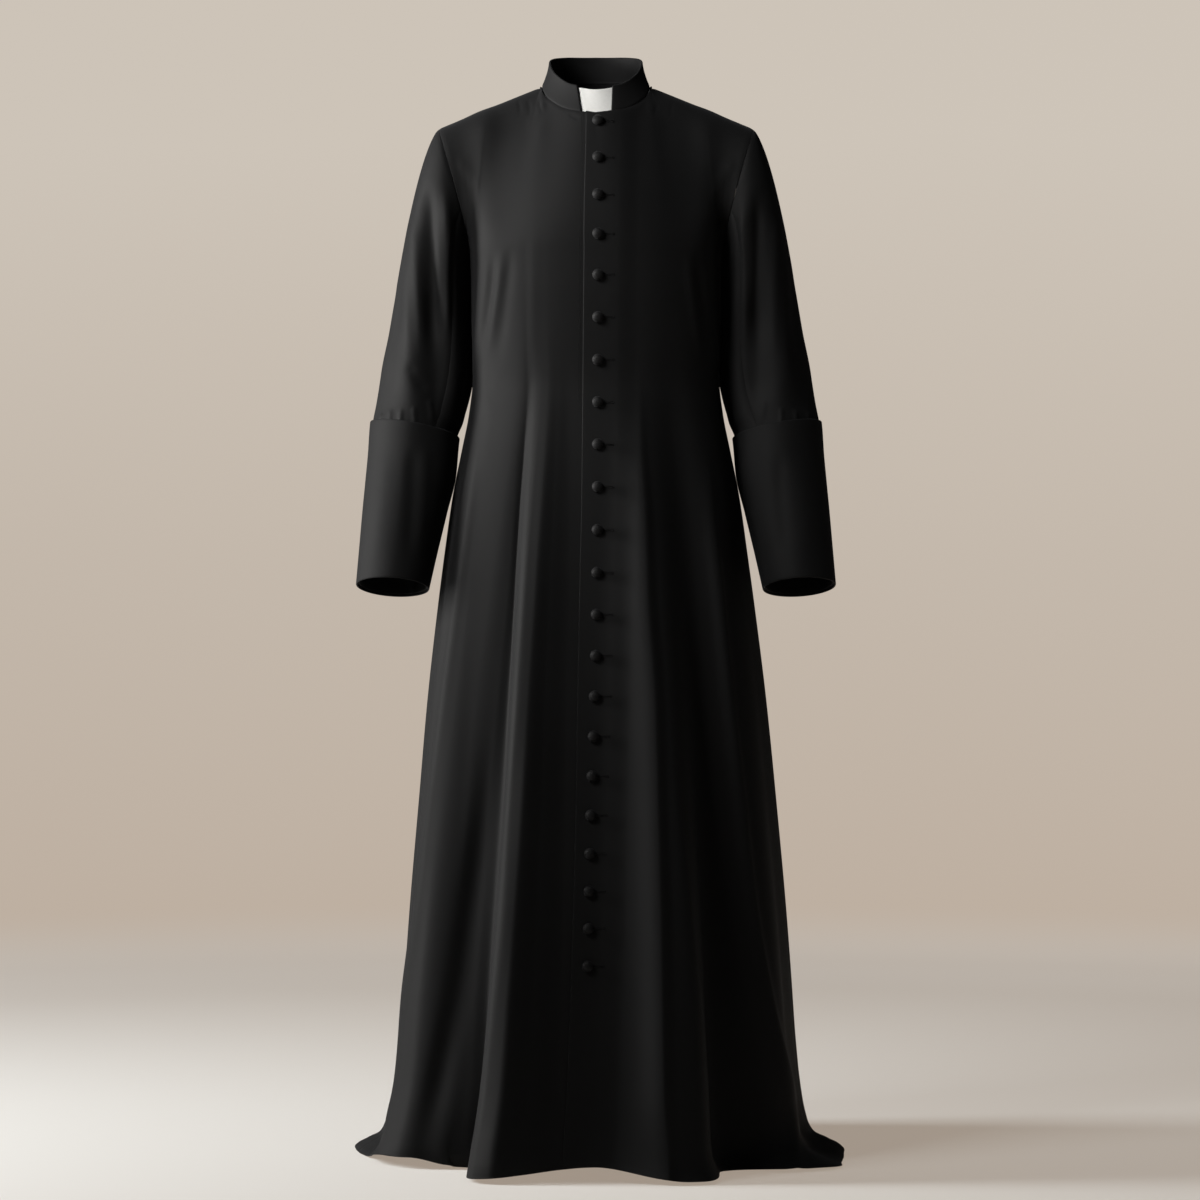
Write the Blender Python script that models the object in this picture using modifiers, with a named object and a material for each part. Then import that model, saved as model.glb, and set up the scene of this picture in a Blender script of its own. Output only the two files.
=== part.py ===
"""A full-length cassock, hollow as it is worn: two fronts that lap and button, two backs, two-piece
sleeves with deep turned-back cuffs, a stand collar, its white tab and a row of covered buttons.
Metres, +Z up, the front faces -Y and the wearer's left is +X. The origin is between the shoulders,
at the height where the collar seam crosses them."""

import math

import bpy
import numpy as np

# Driving dimensions
FLOOR_DROP = 1.560  # from the origin down to the floor that the hem reaches
UNDERARM_DROP = 0.250
SHOULDER_TIP = np.array([0.230, 0.000, -0.066])
CLOTH = 0.0020  # the wall, with its lining
CUFF_CLOTH = 0.0025
COLLAR_CLOTH = 0.0030
TAB_CLOTH = 0.0012
TAB_GAP = 0.0008  # between the tab and the inside of the collar
SEAM = 0.0003  # between pieces that are sewn or lie on each other
LAP_RISE = CLOTH + 0.0006  # how far the left front stands out over the right
LAP_WIDTH = 0.042  # how far the right front runs on under the left
LAP_FADE = 0.030
BREAK_HEIGHT = 0.175  # above the floor, where the skirt starts to swing out
NECK_HALF_WIDTH, NECK_DEPTH = 0.0790, 0.0710
RIM_HALF_WIDTH, RIM_DEPTH = 0.0685, 0.0630
COLLAR_HEIGHT = 0.0365
NECK_SHARE = 0.40  # the share of each half panel that ends on the neckline
SIDE_NECK_ANGLE = 95.0
BUTTON_RADIUS = 0.0080
CUFF_TOP_DROP, CUFF_END_DROP, SLEEVE_END_DROP = 0.505, 0.7345, 0.7310
CUFF_FLARE = 0.0012  # how far the free top edge of a cuff stands off
CAP_DROP = 0.300  # below this the sleeve is a plain tube
FRONT_SEAM_ANGLE = 126.0  # round the sleeve, from its outer line to either of its two seams
FOLD_GROWTH, DRIFT_TOP_DROP = 0.85, 0.56


def table(columns, *rows):
    """A short table whose columns have names."""
    return np.array(list(rows), dtype=[(name, float) for name in columns.split()])


# Level sections of the body, without folds; squareness is the superellipse's exponent, and shift is
# how far the centre lies to the wearer's left
BODY = table(
    "drop half_width front back squareness shift",
    (0.250, 0.1840, 0.122, 0.118, 2.40, 0),
    (0.300, 0.1825, 0.121, 0.114, 2.40, 0),
    (0.360, 0.1815, 0.117, 0.108, 2.35, 0),
    (0.432, 0.1800, 0.114, 0.105, 2.30, 0),
    (0.480, 0.1850, 0.120, 0.112, 2.28, 0),
    (0.534, 0.1955, 0.130, 0.124, 2.25, 0),
    (0.600, 0.2085, 0.142, 0.138, 2.20, 0),
    (0.680, 0.2195, 0.156, 0.155, 2.18, 0),
    (0.753, 0.2285, 0.170, 0.172, 2.16, 0.0003),
    (0.899, 0.2445, 0.196, 0.200, 2.14, 0.0012),
    (1.045, 0.2570, 0.222, 0.228, 2.12, 0.0022),
    (1.191, 0.2690, 0.250, 0.256, 2.10, 0.0026),
    (1.300, 0.2765, 0.271, 0.278, 2.10, 0.0028),
    (1.381, 0.2815, 0.287, 0.294, 2.08, 0.0028),
    (1.440, 0.2860, 0.298, 0.304, 2.06, 0.0024),
    (1.483, 0.2915, 0.306, 0.311, 2.05, 0.0014),
    (1.524, 0.2975, 0.314, 0.317, 2.04, 0),
    (1.560, 0.3040, 0.322, 0.322, 2.02, 0),
)
# Crests and troughs of the skirt round the body, by angle from the front; rise is at the floor
FOLDS = table(
    "angle rise start_drop",
    (-168, 0.016, 0.66),
    (-152, -0.022, 0.62),
    (-135, 0.022, 0.60),
    (-115, -0.024, 0.60),
    (-97, 0.010, 0.60),
    (-82, -0.005, 0.58),
    (-68, 0.027, 0.44),
    (-61, 0.023, 0.44),
    (-53, -0.015, 0.44),
    (-48, -0.044, 0.44),
    (-44, -0.060, 0.44),
    (-29, 0.044, 0.44),
    (-25, 0.048, 0.44),
    (-18, 0.022, 0.44),
    (-10, -0.001, 0.50),
    (0, -0.009, 0.56),
    (25, 0.038, 0.46),
    (40, -0.044, 0.46),
    (65, 0.013, 0.50),
    (80, -0.006, 0.58),
    (98, 0.011, 0.60),
    (118, -0.023, 0.60),
    (138, 0.020, 0.60),
    (155, -0.020, 0.62),
    (170, 0.014, 0.66),
    (180, -0.012, 0.66),
)
# The folds don't fall straight: how many degrees lie between a place at the top of the skirt and
# where its fold reaches the floor
FALL = table(
    "angle turn",
    (-120, 0),
    (-90, -4),
    (-60, -6),
    (-50, -9),
    (-33, -17),
    (-24, -8),
    (0, 0),
    (20, 5),
    (34, 6),
    (50, 15),
    (70, 8),
    (90, 4),
    (120, 0),
    (180, 0),
)
# What lies on the floor past the foot of the skirt, how far the hem is lifted off it, and how many
# degrees the cloth slides round there
HEM = table(
    "angle trail lift slide",
    (-150, 0.036, 0.000, 0),
    (-126, 0.060, 0.000, 0),
    (-112, 0.060, 0.000, 0),
    (-97, 0.047, 0.000, 0),
    (-84, 0.041, 0.000, 0),
    (-75, 0.020, 0.007, 0),
    (-65, 0.004, 0.015, 0),
    (-58, -0.004, 0.015, 0),
    (-52, -0.012, 0.005, 0),
    (-46, -0.026, 0.001, -5),
    (-41, -0.020, 0.000, -4),
    (-36, 0.000, 0.001, -1),
    (-30, -0.002, 0.004, 0),
    (-22, -0.005, 0.008, 0),
    (0, 0.002, 0.020, 0),
    (22, 0.006, 0.003, 0),
    (33, 0.016, 0.003, 0),
    (45, 0.026, 0.004, 0),
    (58, 0.054, 0.004, 0),
    (72, 0.064, 0.000, 0),
    (90, 0.054, 0.000, 0),
    (108, 0.066, 0.000, 0),
    (126, 0.064, 0.000, 0),
    (140, 0.048, 0.000, 0),
    (160, 0.034, 0.000, 0),
    (180, 0.040, 0.000, 0),
)
# How much of the trail the skirt has reached at each height above the floor
BREAK = table(
    "height share",
    (0.000, 1.00),
    (0.003, 0.90),
    (0.009, 0.63),
    (0.022, 0.28),
    (0.045, 0.10),
    (0.080, 0.03),
    (0.175, 0.00),
)
# Front edge and button line, from the centre towards the wearer's left
CLOSING = table(
    "drop edge_x button_x",
    (0.050, -0.0144, 0.0025),
    (0.250, -0.0172, 0.0027),
    (0.600, -0.0205, 0.0022),
    (0.775, -0.0245, 0.0005),
    (0.900, -0.0275, -0.0022),
    (1.100, -0.0320, -0.0085),
    (1.265, -0.0370, -0.0115),
    (1.440, -0.0430, -0.0160),
    (1.560, -0.0460, -0.0190),
)
BUTTONS = table(
    "number drop",
    (1, 0.063),
    (4, 0.229),
    (9, 0.531),
    (13, 0.774),
    (18, 1.056),
    (22, 1.265),
)
# Above the underarm each column of cloth is a cubic from the underarm section to the neckline or the
# shoulder seam: how it leaves the one and reaches the other
FRONT_YOKE = table(
    "side leave_y leave_z reach_y reach_z",
    (0.00, -0.008, 0.200, 0.075, 0.185),
    (0.20, -0.008, 0.205, 0.085, 0.150),
    (0.40, -0.010, 0.215, 0.125, 0.020),
    (0.70, -0.020, 0.230, 0.130, 0.000),
    (0.85, -0.110, 0.190, 0.160, 0.000),
    (1.00, -0.260, 0.110, 0.200, 0.000),
)
BACK_YOKE = table(
    "side leave_y leave_z reach_y reach_z",
    (0.00, 0.014, 0.250, -0.070, 0.170),
    (0.20, 0.014, 0.250, -0.085, 0.120),
    (0.40, 0.015, 0.250, -0.125, 0.000),
    (0.70, 0.020, 0.250, -0.130, 0.000),
    (0.85, 0.120, 0.200, -0.165, 0.000),
    (1.00, 0.280, 0.100, -0.215, 0.000),
)
# Height of the collar seam round the neck, by angle from the front
NECK = table(
    "angle height",
    (0, -0.0500),
    (30, -0.0436),
    (60, -0.0260),
    (90, -0.0045),
    (120, 0.0050),
    (150, 0.0090),
    (180, 0.0100),
)
COLLAR_ENDS = table("row left_x right_x", (0, 0.0225, -0.0214), (1, 0.0240, -0.0274))
# Sections of the arm: centre, half sizes, and how far each is turned out and forward
ARM = table(
    "drop x y half_width half_depth out forward",
    (0.300, 0.2380, 0.0140, 0.0540, 0.0700, 4, 0),
    (0.366, 0.2425, 0.0220, 0.0605, 0.0690, 7, 0),
    (0.432, 0.2500, 0.0190, 0.0655, 0.0680, 9, 3),
    (0.480, 0.2580, 0.0110, 0.0645, 0.0665, 10, 6),
    (0.505, 0.2645, 0.0050, 0.0624, 0.0650, 10, 8),
    (0.560, 0.2685, -0.0080, 0.0622, 0.0635, 9, 11),
    (0.620, 0.2777, -0.0240, 0.0584, 0.0610, 8, 13),
    (0.680, 0.2866, -0.0400, 0.0539, 0.0580, 6, 14),
    (0.735, 0.2943, -0.0550, 0.0502, 0.0550, 3, 14),
)
# Folds along the sleeve, by angle from its outer line over the front, and how strong they are
SLEEVE_FOLDS = table(
    "angle rise",
    (0, 0.0000),
    (28, -0.0020),
    (56, 0.0045),
    (92, -0.0060),
    (124, 0.0040),
    (158, -0.0010),
    (212, 0.0035),
    (248, -0.0040),
    (290, 0.0030),
    (325, -0.0020),
)
SLEEVE_FOLD_STRENGTH = table(
    "drop share twist",
    (0.300, 0.55, -8),
    (0.366, 1.00, 4),
    (0.432, 1.00, 14),
    (0.480, 0.50, 22),
    (0.510, 0.15, 26),
    (0.735, 0.00, 26),
)

# Rows of points, from the hem up to the underarm by drop, then by share of the way to the top edge
SKIRT_DROPS = (1.560, 1.557, 1.552, 1.545, 1.533, 1.512, 1.475, 1.410, 1.315, 1.205, 1.100, 1.000)
TRUNK_DROPS = (0.900, 0.800, 0.720, 0.640, 0.570, 0.500, 0.432, 0.360, 0.300, 0.250)
YOKE_SHARES = (0.10, 0.20, 0.32, 0.45, 0.58, 0.70, 0.80, 0.90, 1.00)
SLEEVE_DROPS = (0.333, 0.366, 0.400, 0.432, 0.470, 0.505, 0.560, 0.620, 0.680, SLEEVE_END_DROP)
CUFF_DROPS = (CUFF_TOP_DROP, 0.560, 0.620, 0.680, CUFF_END_DROP)
CAP_SHARES = (0.0, 0.08, 0.2, 0.4, 0.6, 0.8, 1.0)
# Columns of points across a front: closer together where the deep folds are
FRONT_COLUMNS = table("share side", (0, 0), (0.25, 0.17), (0.62, 0.45), (1, 1))
FRONT_COUNT, BACK_COUNT, COLLAR_COUNT, TAB_COUNT = 25, 16, 30, 12


def read(rows, column, at, turn=0.0):
    """Reads a column at a value of the table's first column: a cubic through the rows, level where the
    column turns back and held past the ends. With a turn, the table repeats after that much."""
    knots, values = rows[rows.dtype.names[0]], rows[column]
    if turn:
        knots = np.concatenate([knots - turn, knots, knots + turn])
        values = np.tile(values, 3)
    step = np.diff(knots)
    slope = np.diff(values) / step
    product, total = slope[1:] * slope[:-1], slope[1:] + slope[:-1]
    middle = np.divide(2 * product, total, out=np.zeros_like(product), where=product > 0)
    tangent = np.concatenate([slope[:1], middle, slope[-1:]])
    at = np.asarray(at, float)
    span = np.clip(np.searchsorted(knots, at, side="right") - 1, 0, len(step) - 1)
    u = np.clip((at - knots[span]) / step[span], 0, 1)
    return cubic(
        u, values[span], step[span] * tangent[span], values[span + 1], step[span] * tangent[span + 1]
    )


def cubic(u, start, leave, end, reach):
    """The Hermite cubic: from start to end as u runs from 0 to 1, with the two tangents given."""
    return (
        (2 * u**3 - 3 * u**2 + 1) * start
        + (u**3 - 2 * u**2 + u) * leave
        + (3 * u**2 - 2 * u**3) * end
        + (u**3 - u**2) * reach
    )


def ease(u):
    """From 0 to 1, level at both ends."""
    u = np.clip(u, 0, 1)
    return u * u * (3 - 2 * u)


def unit(vectors):
    return vectors / np.linalg.norm(vectors, axis=-1, keepdims=True)


def body_section(angle, drop):
    """A point of the body below the underarm. The section is a superellipse, its folds stand along its
    own normal and grow towards the floor, and near the floor it runs out into the trail of the hem."""
    height = np.clip(FLOOR_DROP - drop, 0, BREAK_HEIGHT)
    low = (1 - height / BREAK_HEIGHT) ** 2
    lift = low * (CLOTH + read(HEM, "lift", angle, 360))
    trail = read(HEM, "trail", angle, 360) * read(BREAK, "share", height)
    angle = angle + low * read(HEM, "slide", angle, 360)
    radians = np.radians(angle)
    sine, cosine = np.sin(radians), np.cos(radians)
    power = read(BODY, "squareness", drop)
    half_width = read(BODY, "half_width", drop)
    half_depth = np.where(cosine > 0, read(BODY, "front", drop), read(BODY, "back", drop))
    x = half_width * np.sign(sine) * np.abs(sine) ** (2 / power)
    y = -half_depth * np.sign(cosine) * np.abs(cosine) ** (2 / power)
    out_x = np.sign(x) * np.abs(x / half_width) ** (power - 1) / half_width
    out_y = np.sign(y) * np.abs(y / half_depth) ** (power - 1) / half_depth
    length = np.hypot(out_x, out_y)
    below = np.clip((FLOOR_DROP - drop) / (FLOOR_DROP - DRIFT_TOP_DROP), 0, 1)
    fold_angle = angle + below * read(FALL, "turn", angle, 360)
    start = read(FOLDS, "start_drop", fold_angle, 360)
    growth = np.clip((drop - start) / (FLOOR_DROP - start), 0, 1) ** FOLD_GROWTH
    reach = trail + growth * read(FOLDS, "rise", fold_angle, 360)
    x = x + read(BODY, "shift", drop)
    return np.stack([x + reach * out_x / length, y + reach * out_y / length, lift - drop], axis=-1)


def neck_seam(angle):
    """A point of the collar seam, by angle from the front."""
    radians = np.radians(angle)
    around = np.abs((angle + 180) % 360 - 180)
    return np.stack(
        [
            NECK_HALF_WIDTH * np.sin(radians),
            -NECK_DEPTH * np.cos(radians),
            read(NECK, "height", around),
        ],
        axis=-1,
    )


def top_edge(side, front):
    """Where a column of cloth ends: on the collar seam near the middle, then on the shoulder seam."""
    amount, sign = np.abs(side), np.where(side < 0, -1.0, 1.0)
    share = np.clip(amount / NECK_SHARE, 0, 1)
    far = 0.0 if front else 180.0
    neck = neck_seam(far + (SIDE_NECK_ANGLE - far) * share)
    along = np.clip((amount - NECK_SHARE) / (1 - NECK_SHARE), 0, 1)[..., None]
    edge = neck + (SHOULDER_TIP - neck_seam(np.array(SIDE_NECK_ANGLE))) * along
    return edge * np.stack([sign, np.ones_like(sign), np.ones_like(sign)], axis=-1)


def cloth(side, level, front):
    """A point of a front or back. Side runs from -1 at the wearer's right seam to 1 at the left. Level
    is minus the distance below the underarm, and above it the share of the way to the top edge."""
    side, level = np.broadcast_arrays(side, level)
    angle = 90.0 * side if front else np.where(side < 0, -1, 1) * (180 - 90 * np.abs(side))
    lower = body_section(angle, UNDERARM_DROP + np.maximum(-level, 0))
    yoke = FRONT_YOKE if front else BACK_YOKE
    amount = np.abs(side)
    none = np.zeros_like(amount)
    leave = np.stack([none, read(yoke, "leave_y", amount), read(yoke, "leave_z", amount)], axis=-1)
    reach = np.stack([none, read(yoke, "reach_y", amount), read(yoke, "reach_z", amount)], axis=-1)
    underarm = body_section(angle, np.full_like(side, UNDERARM_DROP))
    upper = cubic(np.maximum(level, 0)[..., None], underarm, leave, top_edge(side, front), reach)
    return np.where((level > 0)[..., None], upper, lower)


def cloth_normal(side, level, front):
    """Out of the cloth, from differences a little to each side."""
    small = 1e-3
    above, under = np.where(level == 0, 0, small), small
    across = cloth(np.minimum(side + small, 1), level, front) - cloth(
        np.maximum(side - small, -1), level, front
    )
    along = cloth(side, np.minimum(level + above, 1), front) - cloth(side, level - under, front)
    return unit(np.cross(across, along) * (1 if front else -1))


def side_at(x, level):
    """Which side value lies at a small distance x from the centre of the front."""
    drop = UNDERARM_DROP + np.maximum(-level, 0)
    share = np.abs(x) / read(BODY, "half_width", drop)
    below = np.degrees(np.arcsin(share ** (read(BODY, "squareness", drop) / 2))) / 90
    above = np.degrees(np.arcsin(np.abs(x) / NECK_HALF_WIDTH)) / SIDE_NECK_ANGLE * NECK_SHARE
    blend = np.maximum(level, 0)
    return np.where(x < 0, -1, 1) * (below * (1 - blend) + above * blend)


def levels():
    """The rows of every front and back, from the hem up."""
    return np.concatenate([UNDERARM_DROP - np.array(SKIRT_DROPS + TRUNK_DROPS), YOKE_SHARES])


def closing_x(level):
    """Where the left front's edge lies at a level."""
    drop = np.where(level > 0, UNDERARM_DROP * (1 - level) + 0.05 * level, UNDERARM_DROP - level)
    return read(CLOSING, "edge_x", drop)


def lap_rise(x, level):
    """How far the left front stands out at x: over the right front's edge, then easing down to it."""
    past = (x - closing_x(level) - LAP_WIDTH - 0.006) / LAP_FADE
    return LAP_RISE * (1 - ease(past))


def inset(grid):
    """Moves the side edges and the top edge in by half a seam's gap."""
    moved = grid.copy()
    half = SEAM / 2
    moved[:, 0] += half * unit(grid[:, 1] - grid[:, 0])
    moved[:, -1] += half * unit(grid[:, -2] - grid[:, -1])
    moved[-1] += half * unit(grid[-2] - grid[-1])
    return moved


def wall(name, outer, normals, thickness, material, round_tube=False):
    """A closed wall from a grid of outer points: the inner points lie its thickness in along the
    normals, and the edges are closed between the two. A round tube's last column meets its first."""
    rows, columns = outer.shape[:2]
    inner = outer - normals * thickness
    points = np.concatenate([outer.reshape(-1, 3), inner.reshape(-1, 3)])
    index = np.arange(rows * columns).reshape(rows, columns)
    if round_tube:
        index = np.concatenate([index, index[:, :1]], axis=1)
    under = index + rows * columns

    def quads(a, b, c, d):
        return np.stack([a, b, c, d], axis=-1).reshape(-1, 4)

    faces = [
        quads(index[:-1, :-1], index[:-1, 1:], index[1:, 1:], index[1:, :-1]),
        quads(under[:-1, :-1], under[1:, :-1], under[1:, 1:], under[:-1, 1:]),
        quads(index[0, 1:], index[0, :-1], under[0, :-1], under[0, 1:]),
        quads(index[-1, :-1], index[-1, 1:], under[-1, 1:], under[-1, :-1]),
    ]
    if not round_tube:
        faces.append(quads(index[:-1, 0], index[1:, 0], under[1:, 0], under[:-1, 0]))
        faces.append(quads(index[1:, -1], index[:-1, -1], under[:-1, -1], under[1:, -1]))
    faces = np.concatenate(faces)
    corners = points[faces]
    volume = np.einsum(
        "ij,ij->", corners[:, 0], np.cross(corners[:, 1], corners[:, 2])
    ) + np.einsum("ij,ij->", corners[:, 0], np.cross(corners[:, 2], corners[:, 3]))
    if volume < 0:
        faces = faces[:, ::-1]
    mesh = bpy.data.meshes.new(name)
    mesh.from_pydata(points.tolist(), [], faces.tolist())
    mesh.shade_smooth()
    mesh.materials.append(material)
    return add(name, mesh)


def add(name, mesh):
    piece = bpy.data.objects.new(name, mesh)
    bpy.data.collections["cassock"].objects.link(piece)
    return piece


def principled(name, colour, roughness, sheen=0.0):
    """A plain finish of one colour."""
    material = bpy.data.materials.new(name)
    material.use_nodes = True
    shader = material.node_tree.nodes["Principled BSDF"]
    shader.inputs["Base Color"].default_value = (*colour, 1)
    shader.inputs["Roughness"].default_value = roughness
    shader.inputs["Metallic"].default_value = 0.0
    shader.inputs["Sheen Weight"].default_value = sheen
    return material


def armhole(share, front):
    """Points of the armhole seam, from the underarm to the shoulder tip."""
    return cloth(np.ones_like(share), share, front)


def arm_section(angle, drop, rise=0.0):
    """A point of the sleeve tube: an ellipse about the arm, turned out and forward, with its folds.
    The angle runs from the outer line over the front to the inner line and round the back."""
    radians = np.radians(angle)
    strength = read(SLEEVE_FOLD_STRENGTH, "share", drop)
    twisted = angle - read(SLEEVE_FOLD_STRENGTH, "twist", drop) * np.sin(radians)
    extra = rise + strength * read(SLEEVE_FOLDS, "rise", twisted, 360)
    outward = (read(ARM, "half_width", drop) + extra) * np.cos(radians)
    forward = (read(ARM, "half_depth", drop) + extra) * np.sin(radians)
    out, lean = np.radians(read(ARM, "out", drop)), np.radians(read(ARM, "forward", drop))
    return np.stack(
        [
            read(ARM, "x", drop) + outward * np.cos(out),
            read(ARM, "y", drop) - forward * np.cos(lean),
            outward * np.sin(out) + forward * np.sin(lean) - drop,
        ],
        axis=-1,
    )


def cap_angles():
    """The columns of a sleeve: one for each point of the armhole seam, from the shoulder tip over the
    front to the underarm and up the back."""
    down = 180 * (1 - np.array((0.0,) + YOKE_SHARES)[::-1])
    return np.concatenate([down, 360 - down[-2:0:-1]])


def sleeve_cap(angle, share):
    """A point between the armhole seam and the first plain section: each column is a cubic that leaves
    the shoulder outward and arrives along the arm."""
    front = angle <= 180
    along = 1 - np.where(front, angle, 360 - angle) / 180
    seam = np.where(front[..., None], armhole(along, True), armhole(along, False))
    radians = np.radians(angle)
    top, low = np.cos(radians / 2) ** 2, np.sin(radians / 2) ** 2
    turn = np.sin(radians)
    leave = unit(
        top[..., None] * np.array([0.60, 0, -0.80])
        + low[..., None] * np.array([0.06, 0, -1.0])
        + np.abs(turn)[..., None] * np.array([0.25, 0, 0.10])
        + turn[..., None] * np.array([0, -0.40, 0])
    )
    out = unit(leave + np.array([1.0, 0, 0]))
    seam = seam + SEAM * out
    end_drop = np.full_like(angle, CAP_DROP)
    end = arm_section(angle, end_drop)
    reach = unit(arm_section(angle, end_drop + 0.01) - end)
    length = np.linalg.norm(end - seam, axis=-1, keepdims=True)
    return cubic(share[..., None], seam, leave * length * (0.5 + 0.5 * low[..., None]), end, reach * length)


def grid_normals(grid):
    """Out of a round grid of points whose columns close on themselves."""
    across = np.roll(grid, -1, axis=1) - np.roll(grid, 1, axis=1)
    return unit(np.cross(across, np.gradient(grid, axis=0)))


def sleeve_grid():
    """The left sleeve's outer points, from the armhole seam to the end under the cuff."""
    angles = cap_angles()
    cap = [sleeve_cap(angles, np.full_like(angles, share)) for share in CAP_SHARES]
    arm = [arm_section(angles, np.full_like(angles, drop)) for drop in SLEEVE_DROPS]
    return np.array(cap + arm)


def mitred(first, second):
    """The shared line of two walls' edges: the mitre where they turn gently, each one's own normal
    where they fold back on each other."""
    dot = np.sum(first * second, axis=-1, keepdims=True)
    blend = ease((dot - 0.2) / 0.5)
    middle = first + second
    mitre = middle / np.maximum(1e-6, 1 + dot)
    return first + blend * (mitre - first), second + blend * (mitre - second)


def panel_normals(sides, rows, front):
    """Out of a panel, with shared directions at the shoulder seam, the side seam and the centre back."""
    normals = cloth_normal(sides, rows, front)
    lower = rows[:, 0] <= 0
    for column, sign in ((0, np.sign(sides[0, 0])), (-1, np.sign(sides[0, -1]))):
        if abs(sides[0, column]) == 1:
            other = cloth_normal(sides[:, column], rows[:, column], not front)
            shared = unit(normals[:, column] + other)
            normals[lower, column] = shared[lower]
        if sides[0, column] == 0:
            normals[:, column, 0] = 0
            normals[:, column] = unit(normals[:, column])
    on_shoulder = np.abs(sides[-1]) >= NECK_SHARE
    run = SHOULDER_TIP - neck_seam(np.array(SIDE_NECK_ANGLE))
    up = unit(np.array([-run[2], 0, run[0]]))
    normals[-1, on_shoulder] = up * np.stack(
        [np.sign(sides[-1, on_shoulder]), np.ones(on_shoulder.sum()), np.ones(on_shoulder.sum())], -1
    )
    return normals


def panel(name, front, sides, edge_normals, material, rise=False):
    """A front or back: its grid of points and normals, the mitre along its armhole, and its wall."""
    rows = np.broadcast_to(levels()[:, None], sides.shape)
    outer = cloth(sides, rows, front)
    normals = panel_normals(sides, rows, front)
    upper = rows[:, 0] > 0
    column = -1 if sides[0, -1] == 1 else 0
    mirror = np.array([1 if column == -1 else -1, 1, 1])
    normals[upper, column] = edge_normals * mirror
    if rise:
        outer = outer + normals * lap_rise(outer[..., 0], rows)[..., None]
    wall(name, inset(outer), normals, CLOTH, material)


def build_body(material, front_edge_normals, back_edge_normals):
    rows = levels()[:, None]
    share = np.linspace(0, 1, FRONT_COUNT + 1)
    spread = read(FRONT_COLUMNS, "side", share)
    edge = side_at(closing_x(rows), rows)
    lap = side_at(closing_x(rows) + LAP_WIDTH, rows)
    left = edge + (1 - edge) * spread
    left[:, -1] = 1
    right = lap - (1 + lap) * spread
    right[:, -1] = -1
    panel("front_left", True, left, front_edge_normals, material, rise=True)
    panel("front_right", True, right[:, ::-1], front_edge_normals, material)
    back = np.broadcast_to(np.linspace(0, 1, BACK_COUNT + 1), (len(rows), BACK_COUNT + 1))
    panel("back_left", False, back, back_edge_normals, material)
    panel("back_right", False, -back[:, ::-1], back_edge_normals, material)


def build_sleeves(outer, normals, material):
    """Each sleeve is a top piece over the outer side and an under piece against the body."""
    angles = cap_angles()
    top = [i for i, a in enumerate(angles) if a <= FRONT_SEAM_ANGLE + 1]
    front_seam = top[-1]
    back_seam = len(angles) - front_seam
    pieces = {
        "top": list(range(back_seam, len(angles))) + top,
        "under": list(range(front_seam, back_seam + 1)),
    }
    for side, sign in (("left", 1), ("right", -1)):
        mirror = np.array([sign, 1, 1])
        for piece, columns in pieces.items():
            grid = outer[::-1, columns] * mirror
            edged = inset(grid)
            edged[-1] = grid[-1]
            edged[-1, 0], edged[-1, -1] = inset(grid[-2:])[-1, [0, -1]]
            wall(
                f"sleeve_{piece}_{side}", edged, normals[::-1, columns] * mirror, CLOTH, material
            )


def build_cuffs(material):
    angles = cap_angles()
    drops = np.array(CUFF_DROPS)
    flare = CUFF_FLARE * np.clip(1 - (drops - CUFF_TOP_DROP) / 0.10, 0, 1)
    rise = SEAM + CUFF_CLOTH + flare
    outer = np.array(
        [arm_section(angles, np.full_like(angles, d), r) for d, r in zip(drops, rise)]
    )
    normals = grid_normals(outer)
    for side, sign in (("left", 1), ("right", -1)):
        mirror = np.array([sign, 1, 1])
        wall(f"cuff_{side}", outer * mirror, normals * mirror, CUFF_CLOTH, material, round_tube=True)


def collar_point(angle, row):
    """A point of the collar: it stands on the neck seam and leans in, more so near its foot."""
    radians = np.radians(angle)
    foot = neck_seam(angle)
    rim = np.stack(
        [
            RIM_HALF_WIDTH * np.sin(radians),
            -RIM_DEPTH * np.cos(radians),
            foot[..., 2] + COLLAR_HEIGHT,
        ],
        axis=-1,
    )
    lean = (1 - (1 - row) ** 1.6)[..., None]
    point = foot + (rim - foot) * lean
    point[..., 2] = foot[..., 2] + SEAM + COLLAR_HEIGHT * row
    return point


def collar_normal(angle, row):
    small = 1e-3
    across = collar_point(angle + 1, row) - collar_point(angle - 1, row)
    along = collar_point(angle, np.minimum(row + small, 1)) - collar_point(
        angle, np.maximum(row - small, 0)
    )
    return unit(np.cross(across, along))


def build_collar(material):
    rows = np.linspace(0, 1, 4)[:, None]
    width = RIM_HALF_WIDTH + (NECK_HALF_WIDTH - RIM_HALF_WIDTH) * (1 - rows) ** 1.6
    start = np.degrees(np.arcsin(read(COLLAR_ENDS, "left_x", rows) / width))
    end = 360 + np.degrees(np.arcsin(read(COLLAR_ENDS, "right_x", rows) / width))
    angles = start + (end - start) * np.linspace(0, 1, COLLAR_COUNT + 1)
    rows = np.broadcast_to(rows, angles.shape)
    outer = collar_point(angles, rows)
    wall("collar", outer, collar_normal(angles, rows), COLLAR_CLOTH, material)


def build_tab(material):
    """The white tab lies against the inside of the collar, behind its two ends."""
    rows, angles = np.meshgrid(
        np.linspace(0.02, 0.93, 3), np.linspace(-52, 52, TAB_COUNT + 1), indexing="ij"
    )
    normals = collar_normal(angles, rows)
    outer = collar_point(angles, rows) - normals * (COLLAR_CLOTH + TAB_GAP)
    wall("collar_tab", outer, normals, TAB_CLOTH, material)


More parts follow.
